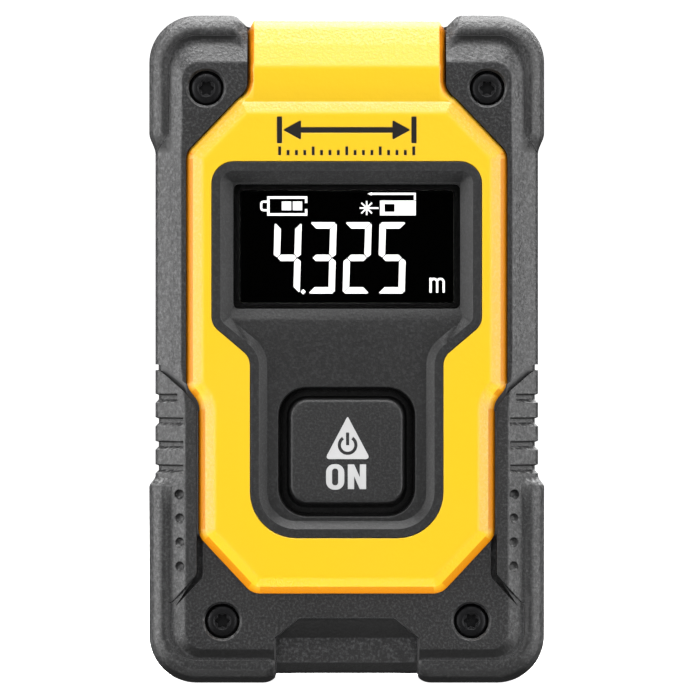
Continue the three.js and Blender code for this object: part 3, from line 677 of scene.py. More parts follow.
def case_line(edge, value, share, body_stops, bumper_stops, lowered, inset):
    """The case's surface from front to back at one place round it."""
    path = []
    is_front = body_stops is FRONT_BODY
    wider = wider_flat(edge, value) if is_front else 0
    smoother = smoother_foot(edge, value) if is_front else 0
    ridge = ridge_share(edge, value, share)
    for j, (plain, bumper) in enumerate(zip(body_stops, bumper_stops)):
        a = on_rectangle(shrink(plain[0], inset), edge, value)
        b = on_rectangle(shrink(bumper[0], inset), edge, value)
        a.x += wider * WIDER_PLAIN[j]
        b.x += wider * WIDER_BUMPER[j]
        spot = a.lerp(b, share)
        forward = ridge if j in RIDGE_STOPS else share
        y = plain[1] + (bumper[1] - plain[1]) * forward + inset
        y += smoother * share * SMOOTHER_FOOT[j]
        if lowered and j < 2:
            y = CORNER_Y
        softness = plain[2] + (bumper[2] - plain[2]) * share
        path.append((Vector((spot.x, y, spot.y)), softness))
    return soften(path)


def case_form(body_stops, bumper_stops, steps_down=False, inset=0.0):
    lines = []
    low = []
    for edge, value, share in right_stations():
        is_low = edge in ("foot", "low corner") or (edge == "side" and value < LOW_END)
        lowered = steps_down and is_low
        lines.append(case_line(edge, value, share, body_stops, bumper_stops, lowered, inset))
        low.append(is_low)
    mirrored = [[Vector((-p.x, p.y, p.z)) for p in line] for line in lines[-2:0:-1]]
    lines += mirrored
    low += low[-2:0:-1]
    count = len(lines)
    depth = len(lines[0])
    points = [p for line in lines for p in line]
    faces = []
    for i in range(count):
        after = (i + 1) % count
        for k in range(depth - 1):
            a = i * depth + k
            b = after * depth + k
            faces.append((a, b, b + 1, a + 1))
    front = [i * depth for i in range(count)]
    faces.append(tuple(i * depth + depth - 1 for i in range(count)))
    if steps_down:
        upper = [i for i in range(count) if not low[i]]
        faces.append(tuple(front[i] for i in upper))
        faces.append(tuple(front[i] for i in range(upper[-1] + 1, count)) + tuple(front[: upper[0]]))
        faces.append((front[upper[0] - 1], front[upper[0]], front[upper[-1]], front[upper[-1] + 1]))
    else:
        faces.append(tuple(front))
    return solid(points, faces)


# ------------ rubber regions, right-hand side
GRIP = [
    (FAR, 35.6, 0), (21.3, 35.6, 1.4), (18.6, 33.3, 1.2), (17.05, 31.4, 1.2), (17.05, 12.4, 0.8),
    (19.9, 9.2, 0.6), (FAR, 9.2, 0),
]
GRIP_STEP = [
    (FAR, 36.25, 0), (21.1, 36.25, 1.6), (18.1, 33.95, 0.6), (15.5, 32.0, 0), (15.5, 31.0, 0),
    (FAR, 31.0, 0),
]
FOOT_STEP = [
    (17.2, 16.8, 0), (16.35, 16.8, 0), (16.35, 12.1, 0.9), (19.45, 8.75, 0), (17.2, 12.3, 0.4),
]
UPPER_CORNER = [
    (FAR, 77, 0), (13.2, 77, 0), (12.7, 76.0, 0.6), (11.35, 74.7, 0.7), (11.35, 70, 0),
    (19.8, 63.2, 0), (21.78, 60.2, 0), (22.4, 62.2, 0), (FAR, 62.2, 0),
]
CORNER_END = [
    (13.2, 77, 0), (11.1, 77, 0), (11.1, 74.0, 0), (11.35, 74.0, 0), (12.7, 75.9, 0),
]
LOWER_CORNER = [
    (FAR, 22.3, 0), (22.4, 22.3, 0), (21.78, 23.6, 0), (19.8, 20.6, 0), (15, 14, 0), (8.05, 8, 0),
    (8.05, 0.5, 0), (9.6, -0.5, 0), (FAR, -0.5, 0),
]
CORE = rectangle(*BODY)
RUBBER_INSET = 1.6  # from the case's outline to the inner edge of a corner bumper
PAD_INSET = 1.95  # the same under a grip's front pad


def throughout(corners, inset=0.0):
    return slab(corners, AHEAD_Y, 9, inset)


def corner_region(region, grow=0.0):
    return cut(throughout(region, -grow), throughout(CORE, RUBBER_INSET + grow))


def grip_region(pad, corner, grow=0.0):
    core = slab(CORE, SKIN_Y + grow, 9, PAD_INSET + grow)
    return join(cut(throughout(pad, -grow), core), corner_region(corner, grow))


def surface_line(x_inner, inset):
    """The case's front slope and side in plan, closed on the outside, for a groove's cutter."""
    slope = [(18.35, CASE_Y), (21.5, -9.2), (BODY[0], -8.5), (BODY[0], 9)]
    run = [(x - inset, y + inset) for x, y in slope]
    ahead = CASE_Y + inset
    if x_inner > run[0][0]:
        share = (x_inner - run[0][0]) / (run[1][0] - run[0][0])
        ahead = run[0][1] + share * (run[1][1] - run[0][1])
        run = run[1:]
    else:
        run = [((x_inner + 3 * run[0][0]) / 4, ahead), *run[1:]]
    return [(x_inner, -14), (x_inner, ahead), *run, (26, 9), (26, -14)]


GROOVES = {
    "first": 32.4,
    "pitch": 2.68,
    "count": 4,
    "inner": 18.55,
    "first_inner": 19.25,
    "stops": ((-0.03, -0.54), (0.42, -0.08), (0.46, 0.34), (-0.03, 0.54)),  # (depth, height)
}
DIMPLES = {"x": 18.98, "y": -11.28, "first": 21.5, "pitch": 2.73, "count": 4, "size": (0.68, 0.5, 0.58)}


def groove_cutter(side, z, x_inner):
    """A groove with a steep upper side, a flat floor and a sloping lower side."""
    rings = []
    for inset, height in GROOVES["stops"]:
        outline = surface_line(x_inner, inset)
        rings.append([(side * x, y, z + height) for x, y in outline])
    return loft(rings)


def dimple_cutter(side, z):
    work = bmesh.new()
    bmesh.ops.create_uvsphere(work, u_segments=20, v_segments=12, radius=1.0)
    place = Matrix.Translation((side * DIMPLES["x"], DIMPLES["y"], z))
    tilt = Matrix.Rotation(side * 0.68, 4, "Z")
    size = Matrix.Diagonal((*DIMPLES["size"], 1.0))
    bmesh.ops.transform(work, matrix=place @ tilt @ size, verts=work.verts)
    return from_bmesh(work)


def make_bumpers():
    for side, name in ((1, "right"), (-1, "left")):
        region = UPPER_CORNER if side > 0 else mirror(UPPER_CORNER)
        shape = keep(case_form(FRONT_BODY, FRONT_BUMPER), corner_region(region))
        piece(shape, f"upper_{name}_corner_rubber", RUBBER, [f"upper_{name}_bumper"])


def make_grips():
    for side, name in ((1, "right"), (-1, "left")):
        pad = GRIP if side > 0 else mirror(GRIP)
        corner = LOWER_CORNER if side > 0 else mirror(LOWER_CORNER)
        shape = keep(case_form(FRONT_BODY, FRONT_BUMPER), grip_region(pad, corner))
        tools = []
        for i in range(GROOVES["count"]):
            z = GROOVES["first"] - i * GROOVES["pitch"]
            tools.append(groove_cutter(side, z, GROOVES["inner"] if i else GROOVES["first_inner"]))
        for i in range(DIMPLES["count"]):
            tools.append(dimple_cutter(side, DIMPLES["first"] - i * DIMPLES["pitch"]))
        piece(cut(shape, *tools), f"{name}_grip_rubber", GRIP_RUBBER, [f"{name}_grip"])


# ------------ cover outlines
BAND_HALF = 11.25
COVER_TOP = 75.4
COVER_SIDE = [
    (10.75, 10.25, 2.2), (16.85, 16.8, 2.2), (16.85, 31.9, 2.2), (18.25, 33.6, 2.2),
    (18.25, 60.35, 2.0),
]
SHOULDER = symmetric([*COVER_SIDE, (BAND_HALF, 67.6, 2.0), (BAND_HALF, 71.0, 0)])
PLATEAU = symmetric([*COVER_SIDE, (12.15, 66.75, 1.3)])
BEZEL = symmetric([(10.93, 16.6, 5.2), (10.93, 37.07, 2.0), (15.3, 40.78, 2.0), (15.3, 59.27, 2.5)])
WINDOW = rectangle(12.86, 42.6, 56.7, 0.6)
VIEW = rectangle(12.2, 43.2, 56.1, 0.5)
KEY_WELL = rectangle(7.68, 19.1, 33.6, 3.1)
KEY_BASE = rectangle(7.52, 19.3, 33.4, 2.95)
KEY_TOP = rectangle(6.32, 20.65, 32.2, 1.9)
KEY_FLANGE = rectangle(8.3, 18.5, 34.2, 3.4)
MEMBRANE_SHEET = rectangle(9.1, 17.4, 35.2, 3)
MEMBRANE_POST = rectangle(5.4, 21, 31.8, 1.6)
MEMBRANE_FRONT_Y = -10.5
MEMBRANE_BACK_Y = -9.15
RELIEF = symmetric([(8.2, -4, 0), (8.2, 5.2, 0.5), (5.4, 7.45, 0.6)])
PORT_FLAP = [(6.95, -8.45, 1.3), (6.95, 1.3, 0.5), (-6.95, 1.3, 0.5), (-6.95, -8.45, 1.3)]
PORT_POCKET = [(6.95, -8.45, 1.3), (6.95, 4.2, 0.6), (-6.95, 4.2, 0.6), (-6.95, -8.45, 1.3)]
END_OPENING = plate(9.25, -6.25, 6.25, 1.8)

CASE_SCREWS = {
    "upper_left": (-15.95, 67.65, CASE_Y),
    "upper_right": (15.95, 67.65, CASE_Y),
    "lower_left": (-14.15, 7.1, CORNER_Y),
    "lower_right": (14.15, 7.1, CORNER_Y),
}


def band_pocket():
    side_view = [(AHEAD_Y, 65), (-9.95, 65), (-9.95, 71.5), (-8.25, 73.85)]
    side_view += [(9, 73.85), (9, 90), (AHEAD_Y, 90)]
    return across([(x, side_view) for x in (-BAND_HALF - GAP, BAND_HALF + GAP)])


def counterbore(x, z, flat):
    return turned(x, z, [(2.5, flat - 0.28), (2.0, flat + 0.26), (2.0, flat + 2.0)])


def make_front_housing():
    tools = []
    for right in (UPPER_CORNER, LOWER_CORNER):
        tools.append(corner_region(right, 0.02))
        tools.append(corner_region(mirror(right), 0.02))
    for flip in (list, mirror):
        core = slab(CORE, SKIN_Y + GAP, 9, PAD_INSET + GAP)
        pad = join(throughout(flip(GRIP), -GAP), throughout(flip(GRIP_STEP)))
        tools.append(cut(pad, core))
        tools.append(slab(flip(FOOT_STEP), AHEAD_Y, -10.5))
        tools.append(throughout(flip(CORNER_END)))
    tools.append(slab(PLATEAU, AHEAD_Y, COVER_BACK_Y + GAP, -0.02))
    tools.append(slab(SHOULDER, AHEAD_Y, COVER_BACK_Y + GAP, -0.02))
    tools.append(band_pocket())
    relief_view = [(AHEAD_Y, -5), (AHEAD_Y, 8.2), (-11.25, 7.9), (-10.95, 7.0)]
    relief_view += [(-10.6, 6.2), (-10.3, 5.2), (-10.2, 4.2), (-10.2, -5)]
    relief = tapered(RELIEF, [(-0.3, -14), (-0.02, CORNER_Y), (0.22, -9.5)])
    tools.append(keep(relief, across([(x, relief_view) for x in (-20, 20)])))
    for x, z, flat in CASE_SCREWS.values():
        tools.append(counterbore(x, z, flat))
    tools.append(slab(CORE, FRONT_WALL_Y, 9, 3.5))
    tools.append(column(END_OPENING, [(0, 70), (0, 78)]))
    tools.append(column(PORT_POCKET, [(-0.12, -1), (-0.12, 2.05)]))
    tools.append(column(plate(4.8, -7.9, -2.5, 1.2), [(0, -1), (0, 6)]))
    tools.append(block(-2.2, 2.2, 2.1, 3.7, -1, 6))
    tools.append(throughout(rectangle(14.6, 40.4, 58.8, 0.5)))
    tools.append(throughout(rectangle(9.2, 17.3, 35.4, 3.0)))
    shape = cut(case_form(FRONT_BODY, FRONT_BUMPER, steps_down=True), *tools)
    piece(shape, "front_shell", DARK, ["front_housing"])


def make_groove_floors():
    """The hard shell at the bottom of the grooves round each grip's pad."""
    for flip, name in ((list, "right"), (mirror, "left")):
        region = cut(throughout(flip(GRIP_STEP), -0.04), throughout(flip(GRIP), 0.3))
        shape = keep(case_form(FRONT_BODY, FRONT_BODY, inset=0.35), region)
        piece(shape, f"{name}_groove_floor", SMOOTH_DARK)


def make_rear_housing():
    shape = case_form(REAR_BODY, REAR_BUMPER)
    label = rectangle(13, 22, 56, 1.6)
    tools = [slab(label, BACK_Y - 0.35, 20), slab(CORE, 0, BACK_WALL_Y, 3.5)]
    tools.append(tapered(rectangle(15.2, 19.6, 58.4, 2.4), [(0.35, BACK_Y - 0.18), (0, BACK_Y + 0.1)]))
    piece(cut(shape, *tools), "rear_shell", DARK, ["rear_housing"])
    plate_shape = tapered(label, [(0.12, BACK_Y - 0.3), (0.12, BACK_Y - 0.24), (0.18, BACK_Y - 0.2)])
    piece(plate_shape, "label_plate", LABEL, ["rear_label"])


# ------------ yellow cover
def band_view(lowered):
    """The band's side view. Towards its edges its front and top are lowered."""
    outside = soften(
        [
            (Vector((BAND_Y + lowered, 65.0)), 0),
            (Vector((BAND_Y + lowered, 70.1 - 0.3 * lowered)), 2.0),
            (Vector((-11.15 + lowered, 72.6 - 0.6 * lowered)), 2.4),
            (Vector((-9.5 + 0.5 * lowered, COVER_TOP - lowered)), 2.2),
            (Vector((SEAM_FRONT_Y, COVER_TOP - lowered)), 0),
        ],
        8,
    )
    inside = [(SEAM_FRONT_Y, 73.9), (-8.3, 73.9), (-10.0, 71.5), (-10.0, 65.0)]
    return [*outside, *[Vector(p) for p in inside]]


def icon_shapes():
    """A generic distance sign: a double-headed arrow between two end bars."""
    half = 7.9
    z = 62.85
    shapes = [rectangle(5.2, z - 0.3, z + 0.3)]
    head = [(7.2, z, 0.08), (5.2, z + 1.1, 0.1), (5.2, z - 1.1, 0.1)]
    bar = outline_between(half - 0.55, half, z - 1.5, z + 1.5, 0.1)
    for flip in (list, mirror):
        shapes.append(flip(head))
        shapes.append(flip(bar))
    return shapes


def icon_ticks():
    """The marks of a short rule under the arrow. Every fourth one is taller."""
    foot = 60.0
    pitch = 0.95
    ticks = []
    for k in range(-8, 9):
        tall = 0.95 if k % 4 == 0 else 0.55
        ticks.append(outline_between(k * pitch - 0.14, k * pitch + 0.14, foot, foot + tall))
    return ticks


def make_cover():
    profile = [(2.2, FACE_Y), (1.95, FACE_Y + 0.03), (1.7, FACE_Y + 0.12), (0.92, -12.42), (0.76, -12.3)]
    plateau = tapered(PLATEAU, [(2.5, FACE_Y), *profile, (0.0, -11.3), (0, COVER_BACK_Y)])
    edge = [(0.75, BAND_Y), (0.62, BAND_Y + 0.08), (0, BAND_Y + 1.2)]
    shoulder = tapered(SHOULDER, [*edge, (0, COVER_BACK_Y)])
    shoulder = keep(shoulder, block(-FAR, FAR, -20, 20, 60, 69.0))
    sections = [(-11.25, 1.2), (-10.63, 0.08), (-10.5, 0), (10.5, 0), (10.63, 0.08), (11.25, 1.2)]
    band = across([(x, band_view(lowered)) for x, lowered in sections])
    shape = join(plateau, shoulder, band)
    tools = [throughout(BEZEL, -GAP), column(END_OPENING, [(0, 70), (0, 78)])]
    for outline in icon_shapes() + icon_ticks():
        tools.append(slab(outline, FACE_Y - 1, FACE_Y + 0.1, -0.03))
    piece(cut(shape, *tools), "yellow_cover", YELLOW, ["yellow_front_cover"])
    inlay = merged([slab(outline, FACE_Y + 0.02, FACE_Y + 0.1) for outline in icon_shapes() + icon_ticks()])
    piece(inlay, "distance_sign", INK)


# ------------ display and key
def make_bezel():
    deep = tapered(BEZEL, [(0.95, FACE_Y - 0.05), (2.36, -11.72)])
    sill = [(-14, 35.8), (-11.72, 42.55), (-11.0, 42.55), (-11.0, 80), (-14, 80)]
    deep = keep(deep, across([(x, sill) for x in (-20, 20)]))
    well = [(-0.25, -13), (-0.22, -12.2), (-0.12, -12.14), (-0.03, -12.02), (0, -11.85), (0, -9)]
    tools = [
        tapered(BEZEL, [(0.95, FACE_Y - 0.05), (1.88, -12.19)]),
        deep,
        slab(WINDOW, AHEAD_Y, -10.85, -0.03),
        throughout(VIEW),
        tapered(KEY_WELL, well),
        slab(KEY_FLANGE, -10.8, -9, -0.05),
    ]
    shape = cut(tapered(BEZEL, [(0.06, FACE_Y), (0, FACE_Y + 0.08), (0, COVER_BACK_Y)]), *tools)
    piece(shape, "display_surround", BEZEL_DARK, ["display_bezel"])


def make_key():
    rings = []
    for outline, inset, y in (
        (KEY_TOP, 1.5, -12.6),
        (KEY_TOP, 0.3, -12.6),
        (KEY_TOP, 0.12, -12.57),
        (KEY_TOP, 0.02, -12.5),
        (KEY_TOP, -0.05, -12.38),
        (KEY_TOP, -0.2, -11.7),
        (KEY_TOP, -0.32, -11.2),
        (KEY_BASE, 0.7, -10.9),
        (KEY_BASE, 0.1, -10.85),
        (KEY_BASE, 0.0, -10.6),
    ):
        rings.append(ring_at(rounded(outline, inset), y))
    cap = join(loft(rings), slab(KEY_FLANGE, -10.75, -10.55))
    piece(cap, "key_cap", KEY_RUBBER, ["power_button"], body="button")


def make_membrane():
    """The silicone sheet that carries the key on a post."""
    front = MEMBRANE_FRONT_Y
    post = tapered(MEMBRANE_POST, [(0.15, front), (0, front + 0.1), (0, MEMBRANE_BACK_Y)])
    sheet = tapered(MEMBRANE_SHEET, [(0.1, -9.9), (0, -9.84), (0, -9.5), (0.1, -9.45)])
    shape = join(sheet, tapered(MEMBRANE_POST, [(-0.15, -10.2), (-1.2, -9.92), (-1.2, -9.6)]), post)
    made = piece(shape, "key_membrane", SILICONE, ["button_membrane"])
    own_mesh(made)


def ring_shape(x, z, outer, inner, y0, y1, gap):
    """A flat ring, open at the top by a gap given in degrees to each side."""
    steps = 36
    start = 90 + gap
    turns = [math.radians(start + (360 - 2 * gap) * k / steps) for k in range(steps + 1)]
    outline = [Vector((x + outer * math.cos(t), z + outer * math.sin(t))) for t in turns]
    outline += [Vector((x + inner * math.cos(t), z + inner * math.sin(t))) for t in reversed(turns)]
    return loft([ring_at(outline, y) for y in (y0, y1)])


def make_key_legend():
    """A triangle with a generic power sign left out of it, and the word ON."""
    y0 = -12.62
    y1 = -12.58
    triangle = slab([(2.68, 25.52, 0.3), (0.1, 30.4, 0.1), (-2.48, 25.52, 0.3)], y0, y1)
    ring = ring_shape(0.1, 27.12, 1.12, 0.76, -13, -12, 34)
    bar = slab([(0.28, 27.1, 0), (0.28, 28.55, 0.1), (-0.08, 28.55, 0.1), (-0.08, 27.1, 0)], -13, -12)
    sign = cut(triangle, ring, bar)
    letter_o = slab(outline_between(-2.35, -0.27, 22.05, 24.96, 0.95), y0, y1)
    hole = slab(outline_between(-1.66, -0.97, 22.55, 24.46, 0.33), -13, -12)
    letter_o = cut(letter_o, hole)
    left = 0.12
    right = 2.2
    foot = 22.12
    top = 24.93
    stem = 0.72
    letter_n = slab(
        [
            (left, foot, 0),
            (left + stem, foot, 0),
            (left + stem, foot + 1.45, 0),
            (right - stem, foot, 0),
            (right, foot, 0),
            (right, top, 0),
            (right - stem, top, 0),
            (right - stem, top - 1.45, 0),
            (left + stem, top, 0),
            (left, top, 0),
        ],
        y0,
        y1,
    )
    legend = merged([sign, letter_o, letter_n])
    piece(legend, "key_legend", PRINT, body="button")


def make_window():
    pane = tapered(WINDOW, [(0.06, -11.7), (0, -11.64), (0, -10.9)])
    piece(pane, "display_pane", PANE, ["display_window"])
    panel = slab(rectangle(12.1, 43.3, 56.0, 0.3), -10.8, -9.9)
    piece(panel, "display_panel", PANEL, ["lcd_glass"])


# A seven-segment digit, from its lower left corner.
DIGIT = {"wide": 3.07, "tall": 8.1, "thick": 0.72, "lean": 0.028}
SEGMENTS_LIT = {"4": "fgbc", "3": "abgcd", "2": "abged", "5": "afgcd"}


def digit_segments():
    wide = DIGIT["wide"]
    tall = DIGIT["tall"]
    thick = DIGIT["thick"]
    half = tall / 2
    gap = 0.05
    top = [
        (gap + 0.22, tall),
        (gap + 0.11, tall - 0.11),
        (gap + thick, tall - thick),
        (wide - gap - thick, tall - thick),
        (wide - gap - 0.11, tall - 0.11),
        (wide - gap - 0.22, tall),
    ]
    upper = [
        (wide, tall - gap - 0.22),
        (wide - 0.11, tall - gap - 0.11),
        (wide - thick, tall - gap - thick),
        (wide - thick, half + 0.45),
        (wide - thick / 2 - 0.04, half + 0.07),
        (wide, half + 0.36),
    ]
    middle = [
        (0.46, half),
        (0.82, half - 0.36),
        (wide - 0.82, half - 0.36),
        (wide - 0.46, half),
        (wide - 0.82, half + 0.36),
        (0.82, half + 0.36),
    ]
    lower = [(x, tall - z) for x, z in upper]
    return {
        "a": top,
        "b": upper,
        "c": lower,
        "d": [(x, tall - z) for x, z in top],
        "e": [(wide - x, z) for x, z in lower],
        "f": [(wide - x, z) for x, z in upper],
        "g": middle,
    }


SCREEN = (-10.86, -10.81)  # depth of the lit shapes, front and back


def lit(outline):
    return loft([[(x, y, z) for x, z in outline] for y in SCREEN])


def lit_rectangle(x0, x1, z0, z1):
    return lit([(x0, z0), (x1, z0), (x1, z1), (x0, z1)])


def lit_line(start, end, width):
    a = Vector(start)
    b = Vector(end)
    across_line = (b - a).normalized()
    out = Vector((-across_line.y, across_line.x)) * width / 2
    return lit([a - out, b - out, b + out, a + out])


def reading_shapes():
    made = []
    segments = digit_segments()
    middle = DIGIT["tall"] / 2
    for place, digit in enumerate("4325"):
        left = -8.30 + 3.975 * place
        for name in SEGMENTS_LIT[digit]:
            outline = [(left + x + DIGIT["lean"] * (z - middle), 44.32 + z) for x, z in segments[name]]
            made.append(lit(outline))
    made.append(lit([(-4.95, 44.22), (-4.65, 44.52), (-4.95, 44.82), (-5.25, 44.52)]))
    return made


def unit_shapes():
    """The unit, a small letter m, from a stem and two arches."""
    left = 9.40
    foot = 44.41
    stroke = 0.26
    made = [lit_rectangle(left, left + stroke, foot, foot + 1.70)]
    for start in (left, left + 0.74):
        middle = start + 0.5
        crown = foot + 1.2
        outer = [(middle + 0.5 * math.cos(t), crown + 0.5 * math.sin(t)) for t in arc_turns(0, 150)]
        inner = [(middle + 0.25 * math.cos(t), crown + 0.25 * math.sin(t)) for t in arc_turns(150, 0)]
        made.append(lit([(middle + 0.25, foot), (middle + 0.5, foot), *outer, *inner]))
    return made


def arc_turns(start, end, steps=10):
    return [math.radians(start + (end - start) * k / steps) for k in range(steps + 1)]


def battery_shapes():
    line = 0.27
    x0, x1, z0, z1 = -9.04, -4.48, 53.17, 55.36
    bars = [
        (x0, x0 + line, z0, z1),
        (x0 + line, x1, z0, z0 + line),
        (x0 + line, x1, z1 - line, z1),
        (x1 - line, x1, z0 + line, z0 + 0.75),
        (x1 - line, x1, z1 - 0.75, z1 - line),
        (-7.38, -6.32, 53.78, 54.77),
        (-6.12, -5.07, 53.78, 54.77),
    ]
    made = [lit_rectangle(*bar) for bar in bars]
    # The terminal is a small loop at the left-hand end.
    outer = [(-9.45 + 0.38 * math.cos(t), 54.5 + 0.38 * math.sin(t)) for t in arc_turns(90, 180)]
    outer += [(-9.45 + 0.38 * math.cos(t), 54.04 + 0.38 * math.sin(t)) for t in arc_turns(180, 270)]
    inner = [(-9.45 + 0.14 * math.cos(t), 54.04 + 0.14 * math.sin(t)) for t in arc_turns(270, 180)]
    inner += [(-9.45 + 0.14 * math.cos(t), 54.5 + 0.14 * math.sin(t)) for t in arc_turns(180, 90)]
    made.append(lit([(x0, 54.88), *outer, (x0, 53.66), (x0, 53.90), *inner, (x0, 54.64)]))
    return made


def beam_shapes():
    """The measuring mode: a small meter, its beam and a return line."""
    bars = [
        (3.78, 4.29, 53.20, 54.88),
        (5.44, 7.84, 53.20, 54.88),
        (4.29, 5.44, 54.50, 54.88),
        (4.29, 5.44, 53.20, 53.60),
        (2.85, 7.84, 55.53, 55.77),
        (7.63, 7.84, 54.95, 55.53),
    ]
    made = [lit_rectangle(*bar) for bar in bars]
    made.append(lit([(2.37, 55.65), (2.85, 55.45), (2.85, 55.85)]))
    centre = Vector((2.265, 54.03))
    for degrees in (45, 90, 135, 180, 225, 270, 315):
        reach = 0.80 if degrees % 90 == 0 else 0.84
        turn = math.radians(degrees)
        made.append(lit_line(centre, centre + Vector((math.cos(turn), math.sin(turn))) * reach, 0.17))
    made.append(lit_line(centre, (3.62, 54.03), 0.18))
    return made


def make_reading():
    shapes = reading_shapes() + unit_shapes() + battery_shapes() + beam_shapes()
    piece(merged(shapes), "display_segments", LIT)


# ------------ screws, optics, charging port
def lobes(x, z):
    """The outline of a six-lobed T6 recess."""
    made = []
    steps = 72
    for k in range(steps):
        turn = 2 * math.pi * k / steps
        radius = 0.755 + 0.125 * math.cos(6 * turn)
        made.append(Vector((x + radius * math.cos(turn), z + radius * math.sin(turn))))
    return made


def make_screws():
    for name, (x, z, flat) in CASE_SCREWS.items():
        top = flat + 0.85
        seat = flat + 1.95
        head = [(0.9, top), (1.5, top), (1.72, top + 0.1), (1.82, top + 0.3), (1.82, seat)]
        screw = turned(x, z, [*head, (0.8, seat), (0.8, flat + 4)])
        recess = loft([ring_at(lobes(x, z), y) for y in (top - 1, top + 0.75)])
        dish = turned(x, z, [(1.1, top - 0.1), (0.95, top + 0.05), (0.6, top + 0.1)])
        piece(cut(screw, recess, dish), f"torx_screw_{name}", OXIDE, [f"case_screw_{name}"])


RECEIVER_X = 3.2
LASER_X = -5.6


def make_optics():
    body = column(plate(9.1, -6.1, 6.1, 1.7), [(0, 72.9), (0, 75.0), (0.06, 75.13), (0.2, 75.2)])
    holes = [column(plate(8.3, -5.3, 5.3, 1.1), [(0, 74.3), (0, 75.1), (-0.2, 75.3)])]
    for x, radius in ((RECEIVER_X, 4.75), (LASER_X, 2.1)):
        rings = [(radius, 70), (radius, 73.9), (radius + 0.35, 74.6)]
        holes.append(loft([[(p.x, p.y, z) for p in circle(r, x, 0, 56)] for r, z in rings]))
    piece(cut(body, *holes), "optics_plate", BLACK, ["optics_faceplate"])
    pane = column(plate(8.2, -5.2, 5.2, 1.0), [(0, 74.35), (0, 74.94), (0.06, 75.0)])
    piece(pane, "optics_pane", DARK_PANE, ["optics_window"])


def make_port_cover():
    flap = column(PORT_FLAP, [(0.3, 1.1), (0.12, 1.15), (0, 1.32), (0, 2.0)])
    plug = column(plate(4.5, -7.6, -2.8, 1.1), [(0, 1.9), (0, 2.35), (0.12, 2.45)])
    shape = join(flap, plug)
    ridges = []
    for k in range(3):
        y = -7.2 + 0.8 * k
        ridges.append(block(-2.6, 2.6, y - 0.16, y + 0.16, 0.9, 1.22))
    shape = cut(shape, *ridges)
    piece(shape, "port_flap", RUBBER, ["port_cover"], body="charging_cover")


def make_tether():
    """A flat strap from the flap to a stem in the case's wall."""
    middle = [(1.0, 1.55), (1.2, 1.55), (1.38, 1.55), (1.6, 1.55), (1.85, 1.55), (2.1, 1.55), (2.35, 1.57)]
    middle += [(2.6, 1.68), (2.78, 1.9), (2.88, 2.25), (2.9, 2.8), (2.9, 3.8), (2.9, 4.9)]
    rings = []
    for i, (y, z) in enumerate(middle):
        before = Vector(middle[max(i - 1, 0)])
        after = Vector(middle[min(i + 1, len(middle) - 1)])
        along = (after - before).normalized()
        out = Vector((-along.y, along.x)) * 0.36
        section = [(1.85, out), (2.0, out * 0.7), (2.0, -out * 0.7), (1.85, -out)]
        ring = [(x, y + o.x, z + o.y) for x, o in section]
        ring += [(-x, y + o.x, z + o.y) for x, o in reversed(section)]
        rings.append(ring)
    strap = piece(loft(rings), "port_tether", RUBBER, ["port_cover_tether"], body=None)
    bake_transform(strap)


make_bumpers()
make_grips()
make_front_housing()
make_groove_floors()
make_rear_housing()
make_cover()
make_bezel()
make_key()
make_membrane()
make_key_legend()
make_window()
make_reading()
make_screws()
make_optics()
make_port_cover()
make_tether()


# ------------ inside pieces
def board_look():
    look = Finish("circuit_board", (0.006, 0.06, 0.022), 0.42)
    look.mottle(3, 0.25)
    look.tint(look.ranged(look.noise(0.35, 1.0), 0.60, 0.63, 0, 0.6), (0.02, 0.14, 0.05))
    look.grain(0.2, 0.01)
    return look.material


INSIDE = {
    "switch_body": BLACK,
    "switch_plunger": coloured_look("white_plastic", (0.75, 0.72, 0.65), 0.45),
    "lcd_frame": BLACK,
    "lcd_backlight": coloured_look("backlight", (0.85, 0.86, 0.82), 0.4),
    "lcd_flex_cable": coloured_look("flex", (0.42, 0.16, 0.02), 0.4, grain=0.004),
    "main_circuit_board": board_look(),
    "microcontroller": BLACK,
    "rf_shield_can": steel_look("steel", (0.62, 0.63, 0.65), 0.3),
    "battery_cell": coloured_look("foil", (0.45, 0.47, 0.5), 0.36, metallic=0.8, grain=0.02, size=1.2),
    "battery_foam_pad": coloured_look("foam", (0.02, 0.02, 0.022), 0.95, grain=0.08, size=0.25),
    "battery_lead_red": coloured_look("red_wire", (0.42, 0.01, 0.01), 0.45),
    "battery_lead_black": coloured_look("black_wire", (0.006, 0.006, 0.006), 0.45),
    "optical_frame": coloured_look("magnesium", (0.16, 0.165, 0.17), 0.5, metallic=0.8, grain=0.02),
    "laser_barrel": steel_look("brass", (0.60, 0.38, 0.08), 0.3),
    "laser_lens": GLASS,
    "receiver_filter": coloured_look("filter_glass", (0.2, 0.006, 0.012), 0.08, grain=0.001),
}
SAME_AS = {
    "laser_diode": "laser_barrel",
    "receiver_lens": "laser_lens",
    "receiver_board": "main_circuit_board",
    "photodiode": "switch_body",
    "usb_socket": "rf_shield_can",
    "battery_connector": "switch_plunger",
}
for corner in CASE_SCREWS:
    SAME_AS[f"board_screw_{corner}"] = "rf_shield_can"
for name, look in INSIDE.items():
    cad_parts[name].material_slots[0].material = look
for name, other in SAME_AS.items():
    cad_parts[name].material_slots[0].material = INSIDE[other]


# ------------ stage, light and camera
def stage_look(name):
    look = bpy.data.materials.new(name)
    look.use_nodes = True
    shader = look.node_tree.nodes["Principled BSDF"]
    set_inputs(shader, {"Base Color": (0.9, 0.9, 0.9, 1.0), "Roughness": 0.9})
    set_inputs(shader, {"Emission Color": (1.0, 1.0, 1.0, 1.0), "Emission Strength": 1.0})
    return look


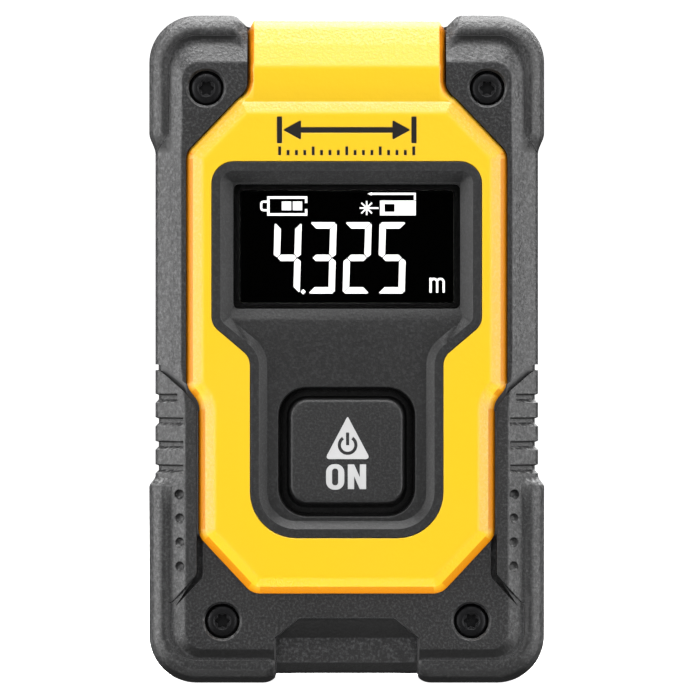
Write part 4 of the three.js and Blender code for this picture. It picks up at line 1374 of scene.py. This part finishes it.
def make_stage():
    """A pale floor and a pale round backdrop, which light nothing themselves."""
    bpy.ops.mesh.primitive_circle_add(vertices=96, radius=3.0, fill_type="NGON", location=(0, 0, -0.00002))
    floor = bpy.context.object
    floor.name = "floor"
    floor.data.materials.append(stage_look("pale_floor"))
    bpy.ops.mesh.primitive_uv_sphere_add(segments=64, ring_count=32, radius=3.0, location=(0, 0, 0))
    dome = bpy.context.object
    dome.name = "backdrop"
    dome.data.materials.append(stage_look("pale_backdrop"))
    for item in (floor, dome):
        item.visible_diffuse = False
        item.visible_glossy = False
        item.visible_transmission = False
        item.visible_shadow = False


def area_light(name, place, size, power, shine=True):
    """A soft light that looks at the meter's middle, with or without a glint on glossy surfaces."""
    data = bpy.data.lights.new(name, "AREA")
    data.shape = "RECTANGLE"
    data.size, data.size_y = size
    data.energy = power
    lamp = bpy.data.objects.new(name, data)
    lamp.location = place
    lamp.rotation_euler = (Vector((0, 0, 0.038)) - Vector(place)).to_track_quat("-Z", "Y").to_euler()
    lamp.visible_camera = False
    lamp.visible_glossy = shine
    bpy.context.scene.collection.objects.link(lamp)


def make_light():
    world = bpy.data.worlds.new("studio")
    bpy.context.scene.world = world
    world.use_nodes = True
    background = world.node_tree.nodes["Background"]
    set_inputs(background, {"Color": (1.0, 1.0, 1.0, 1.0), "Strength": 0.08})
    area_light("overhead", (0.0, 0.05, 0.70), (0.9, 0.7), 18.0)
    area_light("far_left", (-0.62, -0.10, 0.05), (0.6, 0.8), 6.3)
    area_light("far_right", (0.62, -0.10, 0.05), (0.6, 0.8), 4.7)
    area_light("near_left", (-0.50, -0.60, 0.05), (0.35, 0.6), 2.2)
    area_light("near_right", (0.50, -0.60, 0.05), (0.35, 0.6), 2.0)
    area_light("key", (0.0, -0.58, 0.58), (0.6, 0.35), 3.2)
    area_light("low", (0.0, -0.14, -0.70), (0.6, 0.3), 8.0, shine=False)
    area_light("low_glint", (0.0, -0.30, -0.65), (0.6, 0.3), 0.9)
    area_light("back", (0.25, 0.7, 0.5), (0.6, 0.6), 5.0)


def make_camera():
    data = bpy.data.cameras.new("camera")
    data.sensor_width = 36.0
    data.lens = 408.3
    data.clip_start = 0.01
    data.clip_end = 20.0
    camera = bpy.data.objects.new("camera", data)
    camera.location = (0.00037, -0.9 + FACE_Y * MM, 0.0379)
    camera.rotation_euler = (math.radians(90), 0, 0)
    bpy.context.scene.collection.objects.link(camera)
    bpy.context.scene.camera = camera


make_stage()
make_light()
make_camera()
bpy.context.scene.view_settings.view_transform = "Standard"
